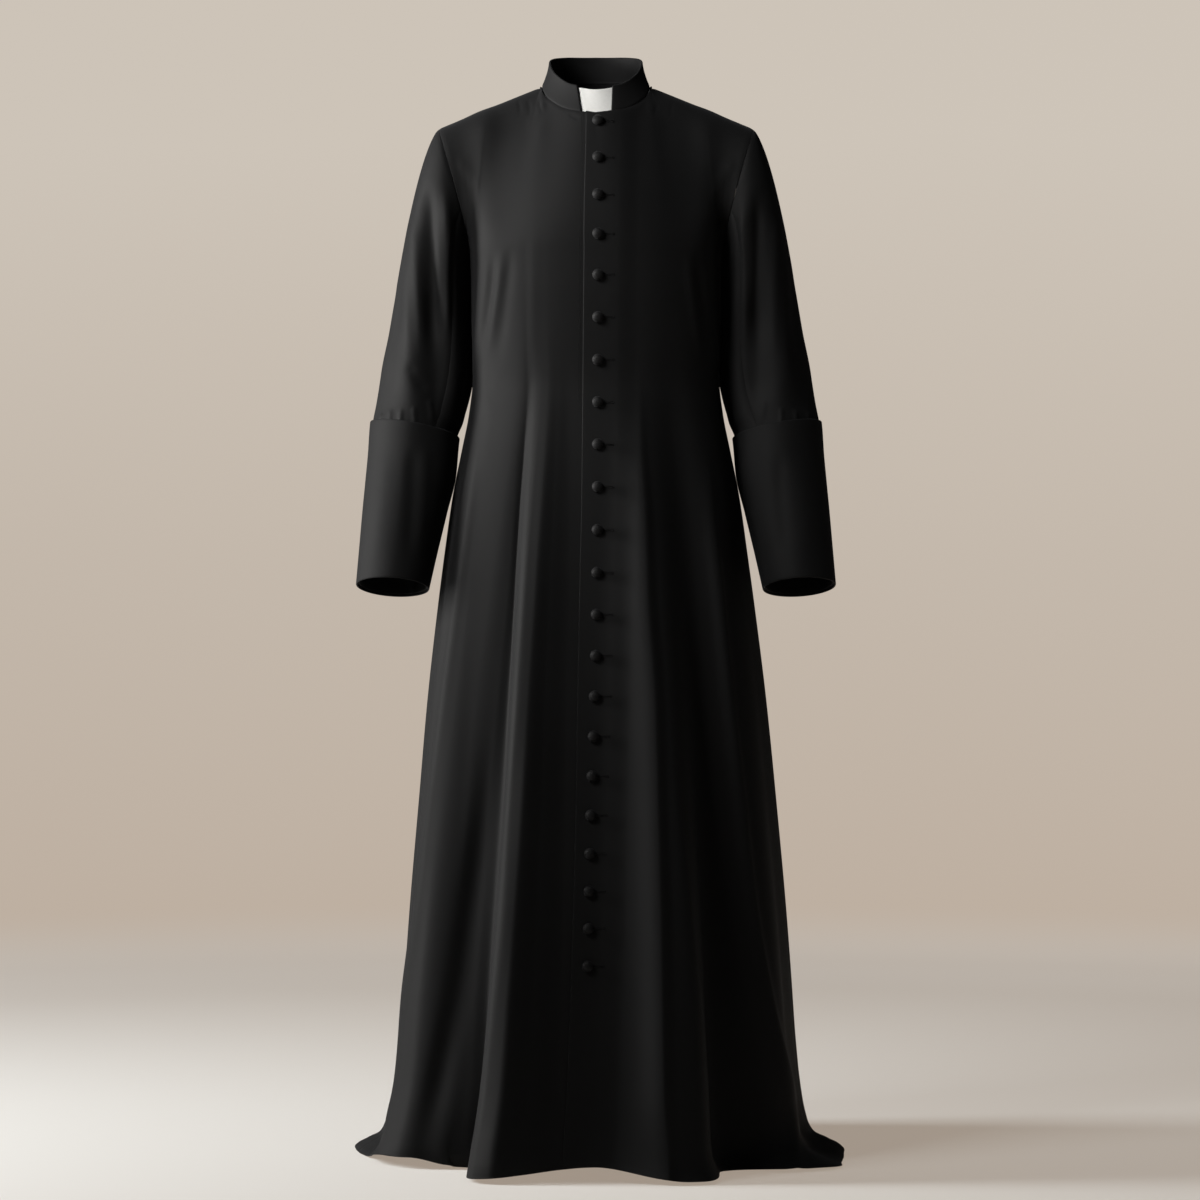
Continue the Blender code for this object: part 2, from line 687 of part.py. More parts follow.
def button_places():
    """Where each button sits on the left front, on the straight run between two rows, and the way out."""
    count = int(BUTTONS["number"][-1])
    drops = read(BUTTONS, "drop", np.arange(1, count + 1))
    rows = levels()
    heights = cloth(np.full_like(rows, 0.005), rows, True)[:, 2]
    above = np.searchsorted(heights, -drops)
    share = ((-drops - heights[above - 1]) / (heights[above] - heights[above - 1]))[:, None]
    x = read(CLOSING, "button_x", drops)
    ends = []
    for level in (rows[above - 1], rows[above]):
        side = side_at(x, level)
        point, normal = cloth(side, level, True), cloth_normal(side, level, True)
        ends.append(point + normal * (lap_rise(point[:, 0], level)[:, None] + 1.5 * SEAM))
    along = ends[1] - ends[0]
    normal = unit(normal - along * (np.sum(normal * along, -1) / np.sum(along * along, -1))[:, None])
    return ends[0] + along * share, normal


def build_buttons(material):
    """Each is a turned dome on a short shank, its foot just off the cloth."""
    r = BUTTON_RADIUS
    profile = [
        (0, 0, 0.0088),
        (0.63 * r, 0, 0.0076),
        (r, 0, 0.0043),
        (0.86 * r, 0, 0.0016),
        (0.42 * r, 0, 0.0009),
        (0.42 * r, 0, 0),
        (0, 0, 0),
    ]
    mesh = bpy.data.meshes.new("button")
    mesh.from_pydata(profile, [(i, i + 1) for i in range(len(profile) - 1)], [])
    mesh.materials.append(material)
    points, normals = button_places()
    for number, (point, normal) in enumerate(zip(points, normals), start=1):
        button = add(f"button_{number:02d}", mesh)
        button.location = point
        pitch = math.asin(max(-1.0, min(1.0, normal[2])))
        yaw = math.atan2(normal[1], normal[0])
        button.rotation_euler = (0, math.pi / 2 - pitch, yaw)
        screw = button.modifiers.new("turn", "SCREW")
        screw.steps = screw.render_steps = 10
        screw.merge_threshold = 0.00001
        screw.use_merge_vertices = True


def main():
    for thing in list(bpy.data.objects):
        bpy.data.objects.remove(thing)
    collection = bpy.data.collections.new("cassock")
    bpy.context.scene.collection.children.link(collection)
    black = (0.012, 0.012, 0.013)
    body_wool = principled("body_wool", black, 0.82, 0.15)
    sleeve_wool = principled("sleeve_wool", black, 0.82, 0.15)
    cuff_wool = principled("cuff_wool", black, 0.80, 0.15)
    collar_wool = principled("collar_wool", black, 0.78, 0.15)
    tab_linen = principled("tab_linen", (0.86, 0.85, 0.82), 0.45)
    button_wool = principled("button_wool", black, 0.70, 0.10)

    sleeve = sleeve_grid()
    sleeve_out = grid_normals(sleeve)
    shares = np.array((0.0,) + YOKE_SHARES)
    half = len(shares)
    front_edge = cloth_normal(np.ones(half), shares, True)
    back_edge = cloth_normal(np.ones(half), shares, False)
    ring = np.concatenate([front_edge[::-1], back_edge[1:-1]])
    ring_body, ring_sleeve = mitred(ring, sleeve_out[0])
    sleeve_out[0] = ring_sleeve
    front_mitre = ring_body[:half][::-1][1:]
    back_mitre = np.concatenate([ring_body[half:], ring_body[:1]])
    build_body(body_wool, front_mitre, back_mitre)
    build_sleeves(sleeve, sleeve_out, sleeve_wool)
    build_cuffs(cuff_wool)
    build_collar(collar_wool)
    build_tab(tab_linen)
    build_buttons(button_wool)


main()
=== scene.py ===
"""A full-length black cassock as it is worn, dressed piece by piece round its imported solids.
Metres, +Z up, the front faces -Y and the wearer's left is +X. The origin is between the shoulders."""

import bpy
import numpy as np
from mathutils.bvhtree import BVHTree
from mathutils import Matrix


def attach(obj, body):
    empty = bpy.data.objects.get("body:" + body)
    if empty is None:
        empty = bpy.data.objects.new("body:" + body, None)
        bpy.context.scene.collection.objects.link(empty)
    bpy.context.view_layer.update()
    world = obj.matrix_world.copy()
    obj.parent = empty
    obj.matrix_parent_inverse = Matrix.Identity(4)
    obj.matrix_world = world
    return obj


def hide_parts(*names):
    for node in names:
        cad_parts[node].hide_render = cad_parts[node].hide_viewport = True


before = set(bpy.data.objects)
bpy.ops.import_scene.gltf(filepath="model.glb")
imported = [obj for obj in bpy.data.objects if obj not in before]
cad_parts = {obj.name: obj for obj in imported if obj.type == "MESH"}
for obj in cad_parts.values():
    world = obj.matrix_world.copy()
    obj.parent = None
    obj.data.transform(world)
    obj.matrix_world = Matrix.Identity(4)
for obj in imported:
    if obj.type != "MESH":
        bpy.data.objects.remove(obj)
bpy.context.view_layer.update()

# Right front: the under one of two long fronts of black worsted, each cut in one from the shoulder to
# the hem and flared from the waist. It is sewn to the back at the side and the shoulder, and it runs
# on under the left front, where the buttons are held.
FLOOR_DROP, UNDERARM_DROP = 1.560, 0.250
SHOULDER_TIP = np.array([0.230, 0.000, -0.066])
CLOTH = 0.0020
SEAM = 0.0003
LAP_RISE = CLOTH + 0.0006
LAP_WIDTH, LAP_FADE = 0.042, 0.030
BREAK_HEIGHT = 0.175
NECK_HALF_WIDTH, NECK_DEPTH = 0.0790, 0.0710
NECK_SHARE, SIDE_NECK_ANGLE = 0.40, 95.0
FOLD_GROWTH, DRIFT_TOP_DROP = 0.85, 0.56


def table(columns, *rows):
    """A short table whose columns have names."""
    return np.array(list(rows), dtype=[(name, float) for name in columns.split()])


FOLD_ONSET = 0.05  # how softly a fold comes in, as a share of its length

# Level sections of the body, without folds
BODY = table(
    "drop half_width front back squareness shift",
    (0.250, 0.1840, 0.122, 0.118, 2.40, 0),
    (0.300, 0.1825, 0.121, 0.114, 2.40, 0),
    (0.360, 0.1815, 0.117, 0.108, 2.35, 0),
    (0.432, 0.1800, 0.114, 0.105, 2.30, 0),
    (0.480, 0.1850, 0.120, 0.112, 2.28, 0),
    (0.534, 0.1955, 0.130, 0.124, 2.25, 0),
    (0.600, 0.2085, 0.142, 0.138, 2.20, 0),
    (0.680, 0.2195, 0.156, 0.155, 2.18, 0),
    (0.753, 0.2285, 0.170, 0.172, 2.16, 0.0003),
    (0.899, 0.2445, 0.196, 0.200, 2.14, 0.0012),
    (1.045, 0.2570, 0.222, 0.228, 2.12, 0.0022),
    (1.191, 0.2690, 0.250, 0.256, 2.10, 0.0026),
    (1.300, 0.2765, 0.271, 0.278, 2.10, 0.0028),
    (1.381, 0.2815, 0.287, 0.294, 2.08, 0.0028),
    (1.440, 0.2860, 0.298, 0.304, 2.06, 0.0024),
    (1.483, 0.2915, 0.306, 0.311, 2.05, 0.0014),
    (1.524, 0.2975, 0.314, 0.317, 2.04, 0),
    (1.560, 0.3040, 0.322, 0.322, 2.02, 0),
)
# Crests and troughs of the skirt round the body, by angle from the front; rise is at the floor
FOLDS = table(
    "angle rise start_drop",
    (-168, 0.016, 0.66),
    (-152, -0.022, 0.62),
    (-135, 0.022, 0.60),
    (-115, -0.024, 0.60),
    (-97, 0.010, 0.60),
    (-82, -0.005, 0.58),
    (-68, 0.027, 0.44),
    (-61, 0.023, 0.44),
    (-53, -0.015, 0.44),
    (-48, -0.044, 0.44),
    (-44, -0.060, 0.44),
    (-29, 0.044, 0.44),
    (-25, 0.048, 0.44),
    (-18, 0.022, 0.44),
    (-10, -0.001, 0.50),
    (0, -0.009, 0.56),
    (25, 0.038, 0.46),
    (40, -0.044, 0.46),
    (65, 0.013, 0.50),
    (80, -0.006, 0.58),
    (98, 0.011, 0.60),
    (118, -0.023, 0.60),
    (138, 0.020, 0.60),
    (155, -0.020, 0.62),
    (170, 0.014, 0.66),
    (180, -0.012, 0.66),
)
# How many degrees lie between a place at the top of the skirt and where its fold reaches the floor
FALL = table(
    "angle turn",
    (-120, 0),
    (-90, -4),
    (-60, -6),
    (-50, -9),
    (-33, -17),
    (-24, -8),
    (0, 0),
    (20, 5),
    (34, 6),
    (50, 15),
    (70, 8),
    (90, 4),
    (120, 0),
    (180, 0),
)
# What lies on the floor past the foot of the skirt, the lift of the hem, and the slide of the cloth
HEM = table(
    "angle trail lift slide",
    (-150, 0.036, 0.000, 0),
    (-126, 0.060, 0.000, 0),
    (-112, 0.060, 0.000, 0),
    (-97, 0.047, 0.000, 0),
    (-84, 0.041, 0.000, 0),
    (-75, 0.020, 0.007, 0),
    (-65, 0.004, 0.015, 0),
    (-58, -0.004, 0.015, 0),
    (-52, -0.012, 0.005, 0),
    (-46, -0.026, 0.001, -5),
    (-41, -0.020, 0.000, -4),
    (-36, 0.000, 0.001, -1),
    (-30, -0.002, 0.004, 0),
    (-22, -0.005, 0.008, 0),
    (0, 0.002, 0.020, 0),
    (22, 0.006, 0.003, 0),
    (33, 0.016, 0.003, 0),
    (45, 0.026, 0.004, 0),
    (58, 0.054, 0.004, 0),
    (72, 0.064, 0.000, 0),
    (90, 0.054, 0.000, 0),
    (108, 0.066, 0.000, 0),
    (126, 0.064, 0.000, 0),
    (140, 0.048, 0.000, 0),
    (160, 0.034, 0.000, 0),
    (180, 0.040, 0.000, 0),
)
# How much of the trail the skirt has reached at each height above the floor
BREAK = table(
    "height share",
    (0.000, 1.00),
    (0.003, 0.90),
    (0.009, 0.63),
    (0.022, 0.28),
    (0.045, 0.10),
    (0.080, 0.03),
    (0.175, 0.00),
)
# Front edge and button line, from the centre towards the wearer's left
CLOSING = table(
    "drop edge_x button_x",
    (0.050, -0.0144, 0.0025),
    (0.250, -0.0172, 0.0027),
    (0.600, -0.0205, 0.0022),
    (0.775, -0.0245, 0.0005),
    (0.900, -0.0275, -0.0022),
    (1.100, -0.0320, -0.0085),
    (1.265, -0.0370, -0.0115),
    (1.440, -0.0430, -0.0160),
    (1.560, -0.0460, -0.0190),
)
# How each column of cloth leaves the underarm section and reaches the neckline or shoulder seam
FRONT_YOKE = table(
    "side leave_y leave_z reach_y reach_z",
    (0.00, -0.008, 0.200, 0.075, 0.185),
    (0.20, -0.008, 0.205, 0.085, 0.150),
    (0.40, -0.010, 0.215, 0.125, 0.020),
    (0.70, -0.020, 0.230, 0.130, 0.000),
    (0.85, -0.110, 0.190, 0.160, 0.000),
    (1.00, -0.260, 0.110, 0.200, 0.000),
)
BACK_YOKE = table(
    "side leave_y leave_z reach_y reach_z",
    (0.00, 0.014, 0.250, -0.070, 0.170),
    (0.20, 0.014, 0.250, -0.085, 0.120),
    (0.40, 0.015, 0.250, -0.125, 0.000),
    (0.70, 0.020, 0.250, -0.130, 0.000),
    (0.85, 0.120, 0.200, -0.165, 0.000),
    (1.00, 0.280, 0.100, -0.215, 0.000),
)
NECK = table(
    "angle height",
    (0, -0.0500),
    (30, -0.0436),
    (60, -0.0260),
    (90, -0.0045),
    (120, 0.0050),
    (150, 0.0090),
    (180, 0.0100),
)


def read(rows, column, at, turn=0.0):
    """Reads a column at a value of the table's first column: a cubic through the rows, level where the
    column turns back and held past the ends. With a turn, the table repeats after that much."""
    knots, values = rows[rows.dtype.names[0]], rows[column]
    if turn:
        knots = np.concatenate([knots - turn, knots, knots + turn])
        values = np.tile(values, 3)
    step = np.diff(knots)
    slope = np.diff(values) / step
    product, total = slope[1:] * slope[:-1], slope[1:] + slope[:-1]
    middle = np.divide(2 * product, total, out=np.zeros_like(product), where=product > 0)
    tangent = np.concatenate([slope[:1], middle, slope[-1:]])
    at = np.asarray(at, float)
    span = np.clip(np.searchsorted(knots, at, side="right") - 1, 0, len(step) - 1)
    u = np.clip((at - knots[span]) / step[span], 0, 1)
    return cubic(
        u, values[span], step[span] * tangent[span], values[span + 1], step[span] * tangent[span + 1]
    )


def cubic(u, start, leave, end, reach):
    """The Hermite cubic: from start to end as u runs from 0 to 1, with the two tangents given."""
    return (
        (2 * u**3 - 3 * u**2 + 1) * start
        + (u**3 - 2 * u**2 + u) * leave
        + (3 * u**2 - 2 * u**3) * end
        + (u**3 - u**2) * reach
    )


def ease(u):
    """From 0 to 1, level at both ends: three u squared less two u cubed."""
    u = np.clip(u, 0, 1)
    return u * u * (3 - 2 * u)


def unit(vectors):
    """The vectors at length one: each over its own length."""
    return vectors / np.maximum(np.linalg.norm(vectors, axis=-1, keepdims=True), 1e-12)


def body_section(angle, drop):
    """A point below the underarm: a superellipse at that drop, plus the fold's rise along the
    ellipse's own normal, plus the trail that the break adds near the floor. A fold's growth is the
    power of half the sum of the share below its start and that share's hypotenuse with the onset."""
    height = np.clip(FLOOR_DROP - drop, 0, BREAK_HEIGHT)
    low = (1 - height / BREAK_HEIGHT) ** 2
    lift = low * (CLOTH + read(HEM, "lift", angle, 360))
    trail = read(HEM, "trail", angle, 360) * read(BREAK, "share", height)
    angle = angle + low * read(HEM, "slide", angle, 360)
    radians = np.radians(angle)
    sine, cosine = np.sin(radians), np.cos(radians)
    power = read(BODY, "squareness", drop)
    half_width = read(BODY, "half_width", drop)
    half_depth = np.where(cosine > 0, read(BODY, "front", drop), read(BODY, "back", drop))
    x = half_width * np.sign(sine) * np.abs(sine) ** (2 / power)
    y = -half_depth * np.sign(cosine) * np.abs(cosine) ** (2 / power)
    out_x = np.sign(x) * np.abs(x / half_width) ** (power - 1) / half_width
    out_y = np.sign(y) * np.abs(y / half_depth) ** (power - 1) / half_depth
    length = np.hypot(out_x, out_y)
    below = np.clip((FLOOR_DROP - drop) / (FLOOR_DROP - DRIFT_TOP_DROP), 0, 1)
    fold_angle = angle + below * read(FALL, "turn", angle, 360)
    start = read(FOLDS, "start_drop", fold_angle, 360)
    down = (drop - start) / (FLOOR_DROP - start)
    growth = np.clip((down + np.hypot(down, FOLD_ONSET)) / 2, 0, 1) ** FOLD_GROWTH
    reach = trail + growth * read(FOLDS, "rise", fold_angle, 360)
    x = x + read(BODY, "shift", drop)
    return np.stack([x + reach * out_x / length, y + reach * out_y / length, lift - drop], axis=-1)


def neck_seam(angle):
    """A point of the collar seam: an ellipse by angle from the front, at the height of the table."""
    radians = np.radians(angle)
    around = np.abs((angle + 180) % 360 - 180)
    height = read(NECK, "height", around)
    return np.stack(
        [NECK_HALF_WIDTH * np.sin(radians), -NECK_DEPTH * np.cos(radians), height], axis=-1
    )


def top_edge(side, front):
    """Where a column of cloth ends: round the neck seam up to the share, then straight along the
    shoulder seam to its tip."""
    amount, sign = np.abs(side), np.where(side < 0, -1.0, 1.0)
    share = np.clip(amount / NECK_SHARE, 0, 1)
    far = 0.0 if front else 180.0
    neck = neck_seam(far + (SIDE_NECK_ANGLE - far) * share)
    along = np.clip((amount - NECK_SHARE) / (1 - NECK_SHARE), 0, 1)[..., None]
    edge = neck + (SHOULDER_TIP - neck_seam(np.array(SIDE_NECK_ANGLE))) * along
    return edge * np.stack([sign, np.ones_like(sign), np.ones_like(sign)], axis=-1)


def cloth(side, level, front):
    """A point of a front or back. Side is -1 at the wearer's right seam and 1 at the left; level is
    minus the distance below the underarm, and above it the share of a Hermite cubic to the top."""
    side, level = np.broadcast_arrays(side, level)
    angle = 90.0 * side if front else np.where(side < 0, -1, 1) * (180 - 90 * np.abs(side))
    lower = body_section(angle, UNDERARM_DROP + np.maximum(-level, 0))
    yoke = FRONT_YOKE if front else BACK_YOKE
    amount = np.abs(side)
    none = np.zeros_like(amount)
    leave = np.stack([none, read(yoke, "leave_y", amount), read(yoke, "leave_z", amount)], axis=-1)
    reach = np.stack([none, read(yoke, "reach_y", amount), read(yoke, "reach_z", amount)], axis=-1)
    underarm = body_section(angle, np.full_like(side, UNDERARM_DROP))
    upper = cubic(np.maximum(level, 0)[..., None], underarm, leave, top_edge(side, front), reach)
    return np.where((level > 0)[..., None], upper, lower)


def cloth_normal(side, level, front):
    """Out of the cloth: the cross product of its differences a little to each side."""
    small = 1e-3
    side, level = np.broadcast_arrays(side, level)
    above, under = np.where(level == 0, 0, small), small
    across = cloth(np.minimum(side + small, 1), level, front) - cloth(
        np.maximum(side - small, -1), level, front
    )
    along = cloth(side, np.minimum(level + above, 1), front) - cloth(side, level - under, front)
    return unit(np.cross(across, along) * (1 if front else -1))


def side_at(x, level):
    """Which side value lies at a small distance x from the centre of the front."""
    drop = UNDERARM_DROP + np.maximum(-level, 0)
    share = np.abs(x) / read(BODY, "half_width", drop)
    below = np.degrees(np.arcsin(share ** (read(BODY, "squareness", drop) / 2))) / 90
    above = np.degrees(np.arcsin(np.abs(x) / NECK_HALF_WIDTH)) / SIDE_NECK_ANGLE * NECK_SHARE
    blend = np.maximum(level, 0)
    return np.where(x < 0, -1, 1) * (below * (1 - blend) + above * blend)


def closing_x(level):
    """Where the left front's edge lies at a level."""
    drop = np.where(level > 0, UNDERARM_DROP * (1 - level) + 0.05 * level, UNDERARM_DROP - level)
    return read(CLOSING, "edge_x", drop)


# Where the sleeve is set in: level sections of the arm, and the folds that run along it, by angle
# from its outer line over the front, with how strong they are
CAP_DROP = 0.300
ARM = table(
    "drop x y half_width half_depth out forward",
    (0.300, 0.2380, 0.0140, 0.0540, 0.0700, 4, 0),
    (0.366, 0.2425, 0.0220, 0.0605, 0.0690, 7, 0),
    (0.432, 0.2500, 0.0190, 0.0655, 0.0680, 9, 3),
    (0.480, 0.2580, 0.0110, 0.0645, 0.0665, 10, 6),
    (0.505, 0.2645, 0.0050, 0.0624, 0.0650, 10, 8),
    (0.560, 0.2685, -0.0080, 0.0622, 0.0635, 9, 11),
    (0.620, 0.2777, -0.0240, 0.0584, 0.0610, 8, 13),
    (0.680, 0.2866, -0.0400, 0.0539, 0.0580, 6, 14),
    (0.735, 0.2943, -0.0550, 0.0502, 0.0550, 3, 14),
)
SLEEVE_FOLDS = table(
    "angle rise",
    (0, 0.0000),
    (28, -0.0020),
    (56, 0.0045),
    (92, -0.0060),
    (124, 0.0040),
    (158, -0.0010),
    (212, 0.0035),
    (248, -0.0040),
    (290, 0.0030),
    (325, -0.0020),
)
SLEEVE_FOLD_STRENGTH = table(
    "drop share twist",
    (0.300, 0.55, -8),
    (0.366, 1.00, 4),
    (0.432, 1.00, 14),
    (0.480, 0.50, 22),
    (0.510, 0.15, 26),
    (0.735, 0.00, 26),
)


def arm_section(angle, drop, rise=0.0):
    """A point of the sleeve tube: an ellipse about the arm, turned out and forward, widened by its
    folds. The angle runs from the outer line over the front to the inner line and round the back."""
    radians = np.radians(angle)
    strength = read(SLEEVE_FOLD_STRENGTH, "share", drop)
    twisted = angle - read(SLEEVE_FOLD_STRENGTH, "twist", drop) * np.sin(radians)
    extra = rise + strength * read(SLEEVE_FOLDS, "rise", twisted, 360)
    sideways = (read(ARM, "half_width", drop) + extra) * np.cos(radians)
    forward = (read(ARM, "half_depth", drop) + extra) * np.sin(radians)
    out, lean = np.radians(read(ARM, "out", drop)), np.radians(read(ARM, "forward", drop))
    x = read(ARM, "x", drop) + sideways * np.cos(out)
    y = read(ARM, "y", drop) - forward * np.cos(lean)
    return np.stack([x, y, sideways * np.sin(out) + forward * np.sin(lean) - drop], axis=-1)


def sleeve_cap(angle, share):
    """A point between the armhole seam and the first plain section: a Hermite cubic that leaves the
    shoulder outward and arrives along the arm."""
    angle = angle % 360
    front = angle <= 180
    along = 1 - np.where(front, angle, 360 - angle) / 180
    edge = np.ones_like(along)
    seam = np.where(front[..., None], cloth(edge, along, True), cloth(edge, along, False))
    radians = np.radians(angle)
    top, low = np.cos(radians / 2)[..., None] ** 2, np.sin(radians / 2)[..., None] ** 2
    turn = np.sin(radians)[..., None]
    leave = unit(
        top * np.array([0.60, 0, -0.80])
        + low * np.array([0.06, 0, -1.0])
        + np.abs(turn) * np.array([0.25, 0, 0.10])
        + turn * np.array([0, -0.40, 0])
    )
    seam = seam + SEAM * unit(leave + np.array([1.0, 0, 0]))
    end_drop = np.full_like(angle, CAP_DROP)
    end = arm_section(angle, end_drop)
    reach = unit(arm_section(angle, end_drop + 0.01) - end)
    length = np.linalg.norm(end - seam, axis=-1, keepdims=True)
    return cubic(share[..., None], seam, leave * length * (0.5 + 0.5 * low), end, reach * length)


def armhole_seam(level, front):
    """The lines along which the two walls of the armhole seam meet, for the body and for the sleeve,
    and how far the seam is open, from 0 where they fold back on each other to 1. Where it is open both
    lines are the mitre, the sum of the two normals over one plus their product."""
    level = np.clip(level, 0, 1)
    body = cloth_normal(np.ones_like(level), level, front)
    angle = 180 * (1 - level) if front else 180 * (1 + level)
    none = np.zeros_like(level)
    across = sleeve_cap(angle + 0.5, none) - sleeve_cap(angle - 0.5, none)
    sleeve = unit(np.cross(sleeve_cap(angle, none) - sleeve_cap(angle, none + 0.01), across))
    dot = np.sum(body * sleeve, axis=-1, keepdims=True)
    opened = ease((dot - 0.2) / 0.5)
    mitre = (body + sleeve) / np.maximum(1e-6, 1 + dot)
    return body + opened * (mitre - body), sleeve + opened * (mitre - sleeve), opened[..., 0]


# Rows of a panel from the hem up: close together at the hem and round the neck
PANEL_ROWS = table(
    "share level",
    (0.00, -1.310),
    (0.04, -1.302),
    (0.12, -1.270),
    (0.22, -1.185),
    (0.55, -0.560),
    (0.70, -0.250),
    (0.80, 0.000),
    (0.86, 0.300),
    (0.93, 0.700),
    (1.00, 1.000),
)
PANEL_ROW_COUNT = 240
panel_levels = read(PANEL_ROWS, "level", np.linspace(0, 1, PANEL_ROW_COUNT))[:, None]

# Long lines of the hanging cloth, each by drop and by how far it lies to the wearer's left. A line's
# cloth stands out, or lies in, along a bell that is narrower on one side than on the other.
HANGING_LINES = {
    "right_side_crest": (
        (0.470, -0.1650), (0.522, -0.1702), (0.638, -0.1842), (0.753, -0.1998), (0.897, -0.2184),
        (1.041, -0.2358), (1.185, -0.2534), (1.336, -0.2782), (1.467, -0.2971),
    ),
    "right_valley": (
        (0.900, -0.1420), (1.000, -0.1530), (1.100, -0.1660), (1.200, -0.1810), (1.312, -0.1970),
        (1.420, -0.2200), (1.520, -0.2430),
    ),
    "right_crest": (
        (0.160, -0.0903), (0.266, -0.0930), (0.366, -0.0960), (0.466, -0.0980), (0.524, -0.1001),
        (0.639, -0.1041), (0.753, -0.1065), (0.895, -0.1132), (1.036, -0.1255), (1.175, -0.1306),
        (1.314, -0.1442), (1.453, -0.1606), (1.522, -0.1745),
    ),
    "left_crest": (
        (0.400, 0.0600), (0.524, 0.0630), (0.639, 0.0700), (0.753, 0.0740), (0.894, 0.0837),
        (1.035, 0.0876), (1.174, 0.0914), (1.312, 0.0938), (1.448, 0.0962), (1.516, 0.1002),
    ),
    "left_edge": (
        (0.895, 0.1021), (1.035, 0.1131), (1.175, 0.1282), (1.314, 0.1418), (1.438, 0.1540),
        (1.521, 0.1678),
    ),
    "left_side_crest": (
        (0.522, 0.1600), (0.638, 0.1666), (0.753, 0.1777), (0.896, 0.1915), (1.038, 0.2069),
        (1.180, 0.2223), (1.323, 0.2469), (1.474, 0.2842),
    ),
}
# Where each line starts and is at full height, its two widths and how far it stands out
LINE_SIZES = {
    "right_side_crest": (0.46, 0.66, 0.006, 0.007, 0.0034),
    "right_valley": (0.90, 1.15, 0.016, 0.020, -0.0050),
    "right_crest": (0.12, 0.62, 0.030, 0.011, 0.0036),
    "left_crest": (0.40, 0.66, 0.028, 0.009, 0.0085),
    "left_edge": (0.84, 1.10, 0.016, 0.007, 0.0030),
    "left_side_crest": (0.50, 0.75, 0.010, 0.007, 0.0066),
}


FOOT_SHARE, FOOT_DROP, FOOT_FADE = 0.45, 1.53, 0.10  # how the lines weaken near the floor


def hanging_rise(points):
    """For each long line: its height, growing from where it starts and falling to the foot's share
    near the floor, times a bell of the sideways distance over the width of that side."""
    x, drop = points[..., 0], -points[..., 2]
    rise = np.zeros_like(x)
    for name, line in HANGING_LINES.items():
        start, full, right_width, left_width, height = LINE_SIZES[name]
        away = x - read(table("drop x", *line), "x", drop)
        width = np.where(away < 0, right_width, left_width)
        foot = FOOT_SHARE + (1 - FOOT_SHARE) * ease((FOOT_DROP - drop) / FOOT_FADE)
        strength = ease((drop - start) / (full - start)) * foot
        rise += height * strength * np.exp(-((away / width) ** 2))
    return rise


# Short creases of the fronts: a curve through four points, as seen from the front, then half its
# width and how far it stands out
FRONT_CREASES = table(
    "x0 z0 x1 z1 x2 z2 x3 z3 width rise",
    (-0.1563, -0.2521, -0.1613, -0.3063, -0.1696, -0.3680, -0.1749, -0.4300, 0.0055, 0.0020),
    (-0.1309, -0.2480, -0.1388, -0.2942, -0.1454, -0.3382, -0.1640, -0.4300, 0.0065, 0.0024),
    (-0.1453, -0.2500, -0.1500, -0.2993, -0.1548, -0.3376, -0.1690, -0.4100, 0.0050, -0.0018),
    (-0.1200, -0.2400, -0.1260, -0.2900, -0.1330, -0.3500, -0.1480, -0.4300, 0.0080, -0.0014),
    (-0.1620, -0.4100, -0.1640, -0.4350, -0.1600, -0.4600, -0.1540, -0.4900, 0.0080, 0.0012),
    (0.1563, -0.2600, 0.1620, -0.3150, 0.1690, -0.3720, 0.1740, -0.4300, 0.0055, 0.0016),
    (0.1280, -0.2500, 0.1370, -0.3050, 0.1450, -0.3600, 0.1580, -0.4200, 0.0070, 0.0020),
    (0.1430, -0.2550, 0.1500, -0.3080, 0.1560, -0.3560, 0.1650, -0.4000, 0.0055, -0.0016),
    (-0.0402, -0.0510, -0.0344, -0.0539, -0.0287, -0.0568, -0.0229, -0.0598, 0.0018, -0.0008),
    (-0.1137, -0.0216, -0.1122, -0.0304, -0.1107, -0.0392, -0.1107, -0.0500, 0.0022, -0.0007),
    (-0.0993, -0.0230, -0.0978, -0.0319, -0.0963, -0.0392, -0.0963, -0.0520, 0.0022, -0.0008),
    (-0.0834, -0.0245, -0.0820, -0.0319, -0.0805, -0.0392, -0.0770, -0.0520, 0.0024, -0.0008),
    (0.1120, -0.0260, 0.1110, -0.0340, 0.1090, -0.0430, 0.1080, -0.0540, 0.0024, -0.0006),
    (0.0900, -0.0290, 0.0880, -0.0370, 0.0860, -0.0450, 0.0840, -0.0560, 0.0024, -0.0007),
    (-0.0720, -0.0300, -0.0800, -0.0420, -0.0900, -0.0560, -0.1010, -0.0700, 0.0050, 0.0008),
    (-0.0640, -0.0400, -0.0700, -0.0560, -0.0790, -0.0760, -0.0880, -0.0980, 0.0070, 0.0003),
    (0.0720, -0.0320, 0.0810, -0.0450, 0.0910, -0.0600, 0.1020, -0.0760, 0.0050, 0.0008),
    (-0.1560, -0.0200, -0.1640, -0.1000, -0.1640, -0.1850, -0.1450, -0.3000, 0.0230, 0.0070),
    (0.1540, -0.0200, 0.1610, -0.1000, 0.1600, -0.1850, 0.1420, -0.3000, 0.0210, 0.0060),
    (-0.2050, -0.1150, -0.1900, -0.1300, -0.1760, -0.1500, -0.1650, -0.1780, 0.0090, 0.0012),
    (0.2050, -0.1150, 0.1900, -0.1320, 0.1770, -0.1530, 0.1660, -0.1800, 0.0090, 0.0012),
    (0.0120, -0.0650, 0.0180, -0.0655, 0.0240, -0.0665, 0.0320, -0.0690, 0.0018, 0.0005),
    (0.0120, -0.3180, 0.0200, -0.3170, 0.0290, -0.3180, 0.0400, -0.3210, 0.0022, 0.0004),
    (0.0100, -0.5890, 0.0220, -0.5880, 0.0340, -0.5885, 0.0480, -0.5900, 0.0020, 0.0005),
)


